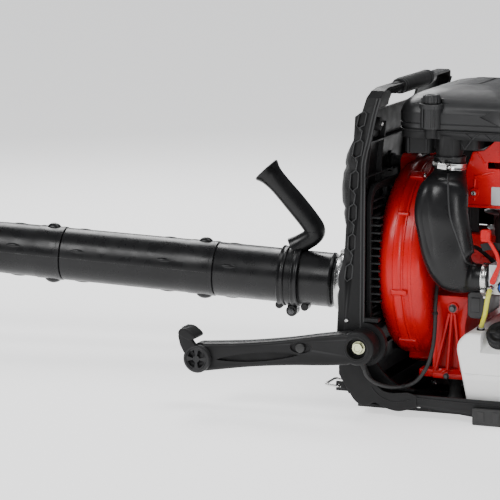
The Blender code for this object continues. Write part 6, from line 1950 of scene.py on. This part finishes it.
def build_cable():
    route = [Vector((-0.1085, -0.1880, 0.0775)), Vector((-0.1040, -0.1850, 0.0620)),
             Vector((-0.0880, -0.1800, 0.0500)), Vector((-0.0640, -0.1680, 0.0445)),
             Vector((-0.0400, -0.1560, 0.0510)), Vector((-0.0250, -0.1440, 0.0720)),
             Vector((-0.0190, -0.1330, 0.1000)), Vector((-0.0190, -0.1220, 0.1320)),
             Vector((-0.0215, -0.1120, 0.1700)), Vector((-0.0200, -0.0960, 0.2100)),
             Vector((-0.0020, -0.0870, 0.2420)), Vector((0.0300, -0.0900, 0.2500)),
             Vector((0.0540, -0.1060, 0.2420)), Vector((0.0715, -0.1190, 0.2330))]
    path = smooth_route(route, 8)
    dress(swept("cable_sheath", path, [0.0030] * len(path), 20, hint=Vector((1.0, 0.3, 0.1))), "rubber",
          "throttle_cable")
    way = (path[-1] - path[-2]).normalized()
    end = path[-1]
    ferrule = turned("cable_ferrule", end - way * 0.0100, way,
                     [(0.0, 0.0033), (0.0006, 0.0038), (0.0100, 0.0038), (0.0106, 0.0022)], 28)
    start = path[0] - path[1]
    boot = turned("cable_boot", path[1], start.normalized(),
                  [(-0.0040, 0.0033), (-0.0030, 0.0041), (0.0060, 0.0046), (0.0064, 0.0040)], 28)
    dress(merge("cable_ends", [ferrule, boot]), "black", body="root")
    clips = []
    for i in (27, 60, 78):
        way = (path[i + 1] - path[i - 1]).normalized()
        clips.append(soften(band(f"cable_clip_{i}", path[i] - way * 0.0022, path[i] + way * 0.0022, 0.0042,
                                 0.0030,
                                 28), 0.0005))
    dress(merge("cable_clips", clips), "black", body="root")


# ---------------------------------------------------------------- picture
FLOOR_REACH = 40.0                # half the side of the pale floor
FLOOR_GLOW = 1.05
WORLD_GLOW = 0.20
AIMED_AT = (0.0, -0.05, 0.22)     # the middle of the machine, which the lights face
CAMERA_AT = (1.2074, -3.9894, 0.9247)
CAMERA_LOOKS = (-0.3615, 0.9177, -0.1650)
LENS_MM, SENSOR_MM = 198.72, 36.0
VIEW_DEPTH = 50.0


def build_floor():
    mat, _, shader = shade_tree("pale_floor")
    shader.inputs["Base Color"].default_value = (0.90, 0.90, 0.90, 1.0)
    shader.inputs["Roughness"].default_value = 0.80
    shader.inputs["Emission Color"].default_value = (1.0, 1.0, 1.0, 1.0)
    shader.inputs["Emission Strength"].default_value = FLOOR_GLOW
    bm = bmesh.new()
    corners = ((-1, -1), (1, -1), (1, 1), (-1, 1))
    bm.faces.new([bm.verts.new((x * FLOOR_REACH, y * FLOOR_REACH, 0.0)) for x, y in corners])
    floor = make_object("floor", bm)
    floor.data.materials.append(mat)


def area_light(name, at, aim, size, power, colour=(1.0, 1.0, 1.0)):
    """Rectangular lamp at a point, turned to face another."""
    data = bpy.data.lights.new(name, "AREA")
    data.shape = "RECTANGLE"
    data.size, data.size_y = size
    data.energy = power
    data.color = colour
    lamp = bpy.data.objects.new(name, data)
    lamp.location = at
    lamp.rotation_euler = (Vector(aim) - Vector(at)).to_track_quat("-Z", "Y").to_euler()
    bpy.context.scene.collection.objects.link(lamp)


def build_picture():
    build_floor()
    area_light("key_light", (-1.5, -2.2, 2.2), AIMED_AT, (1.3, 1.3), 58.0)
    area_light("fill_light", (2.0, -2.4, 0.9), AIMED_AT, (0.5, 1.8), 24.0)
    area_light("rim_light", (-1.4, 1.8, 1.7), AIMED_AT, (1.2, 1.2), 40.0)
    area_light("top_light", (0.3, 0.3, 2.6), AIMED_AT, (1.2, 1.2), 26.0)
    world = bpy.data.worlds.new("soft_studio")
    world.use_nodes = True
    world.node_tree.nodes["Background"].inputs["Color"].default_value = (0.92, 0.94, 1.0, 1.0)
    world.node_tree.nodes["Background"].inputs["Strength"].default_value = WORLD_GLOW
    bpy.context.scene.world = world
    data = bpy.data.cameras.new("view")
    data.lens = LENS_MM
    data.sensor_width = SENSOR_MM
    data.clip_end = VIEW_DEPTH
    camera = bpy.data.objects.new("view", data)
    camera.location = CAMERA_AT
    camera.rotation_euler = Vector(CAMERA_LOOKS).to_track_quat("-Z", "Y").to_euler()
    bpy.context.scene.collection.objects.link(camera)
    bpy.context.scene.camera = camera


def main():
    build_frame()
    build_frame_ribs()
    build_handle_grip()
    build_guard()
    build_base()
    build_skirts()
    build_feet()
    build_strap_loops()
    build_pads()
    build_fan_housing()
    build_impeller()
    build_engine_block()
    build_cylinder()
    build_cylinder_cover()
    build_ignition()
    build_exhaust()
    build_starter()
    build_mounts()
    build_elbow()
    build_hose()
    build_pipes()
    build_air_guide()
    build_tube_grip()
    build_carburettor()
    build_choke()
    build_arc_plate()
    build_fuel_parts()
    build_tank()
    build_fuel_line()
    build_cleaner_case()
    build_cleaner_cover()
    build_knobs()
    build_filter()
    build_duct()
    build_duct_clamps()
    build_arm()
    build_lever()
    build_cable()
    build_picture()


main()
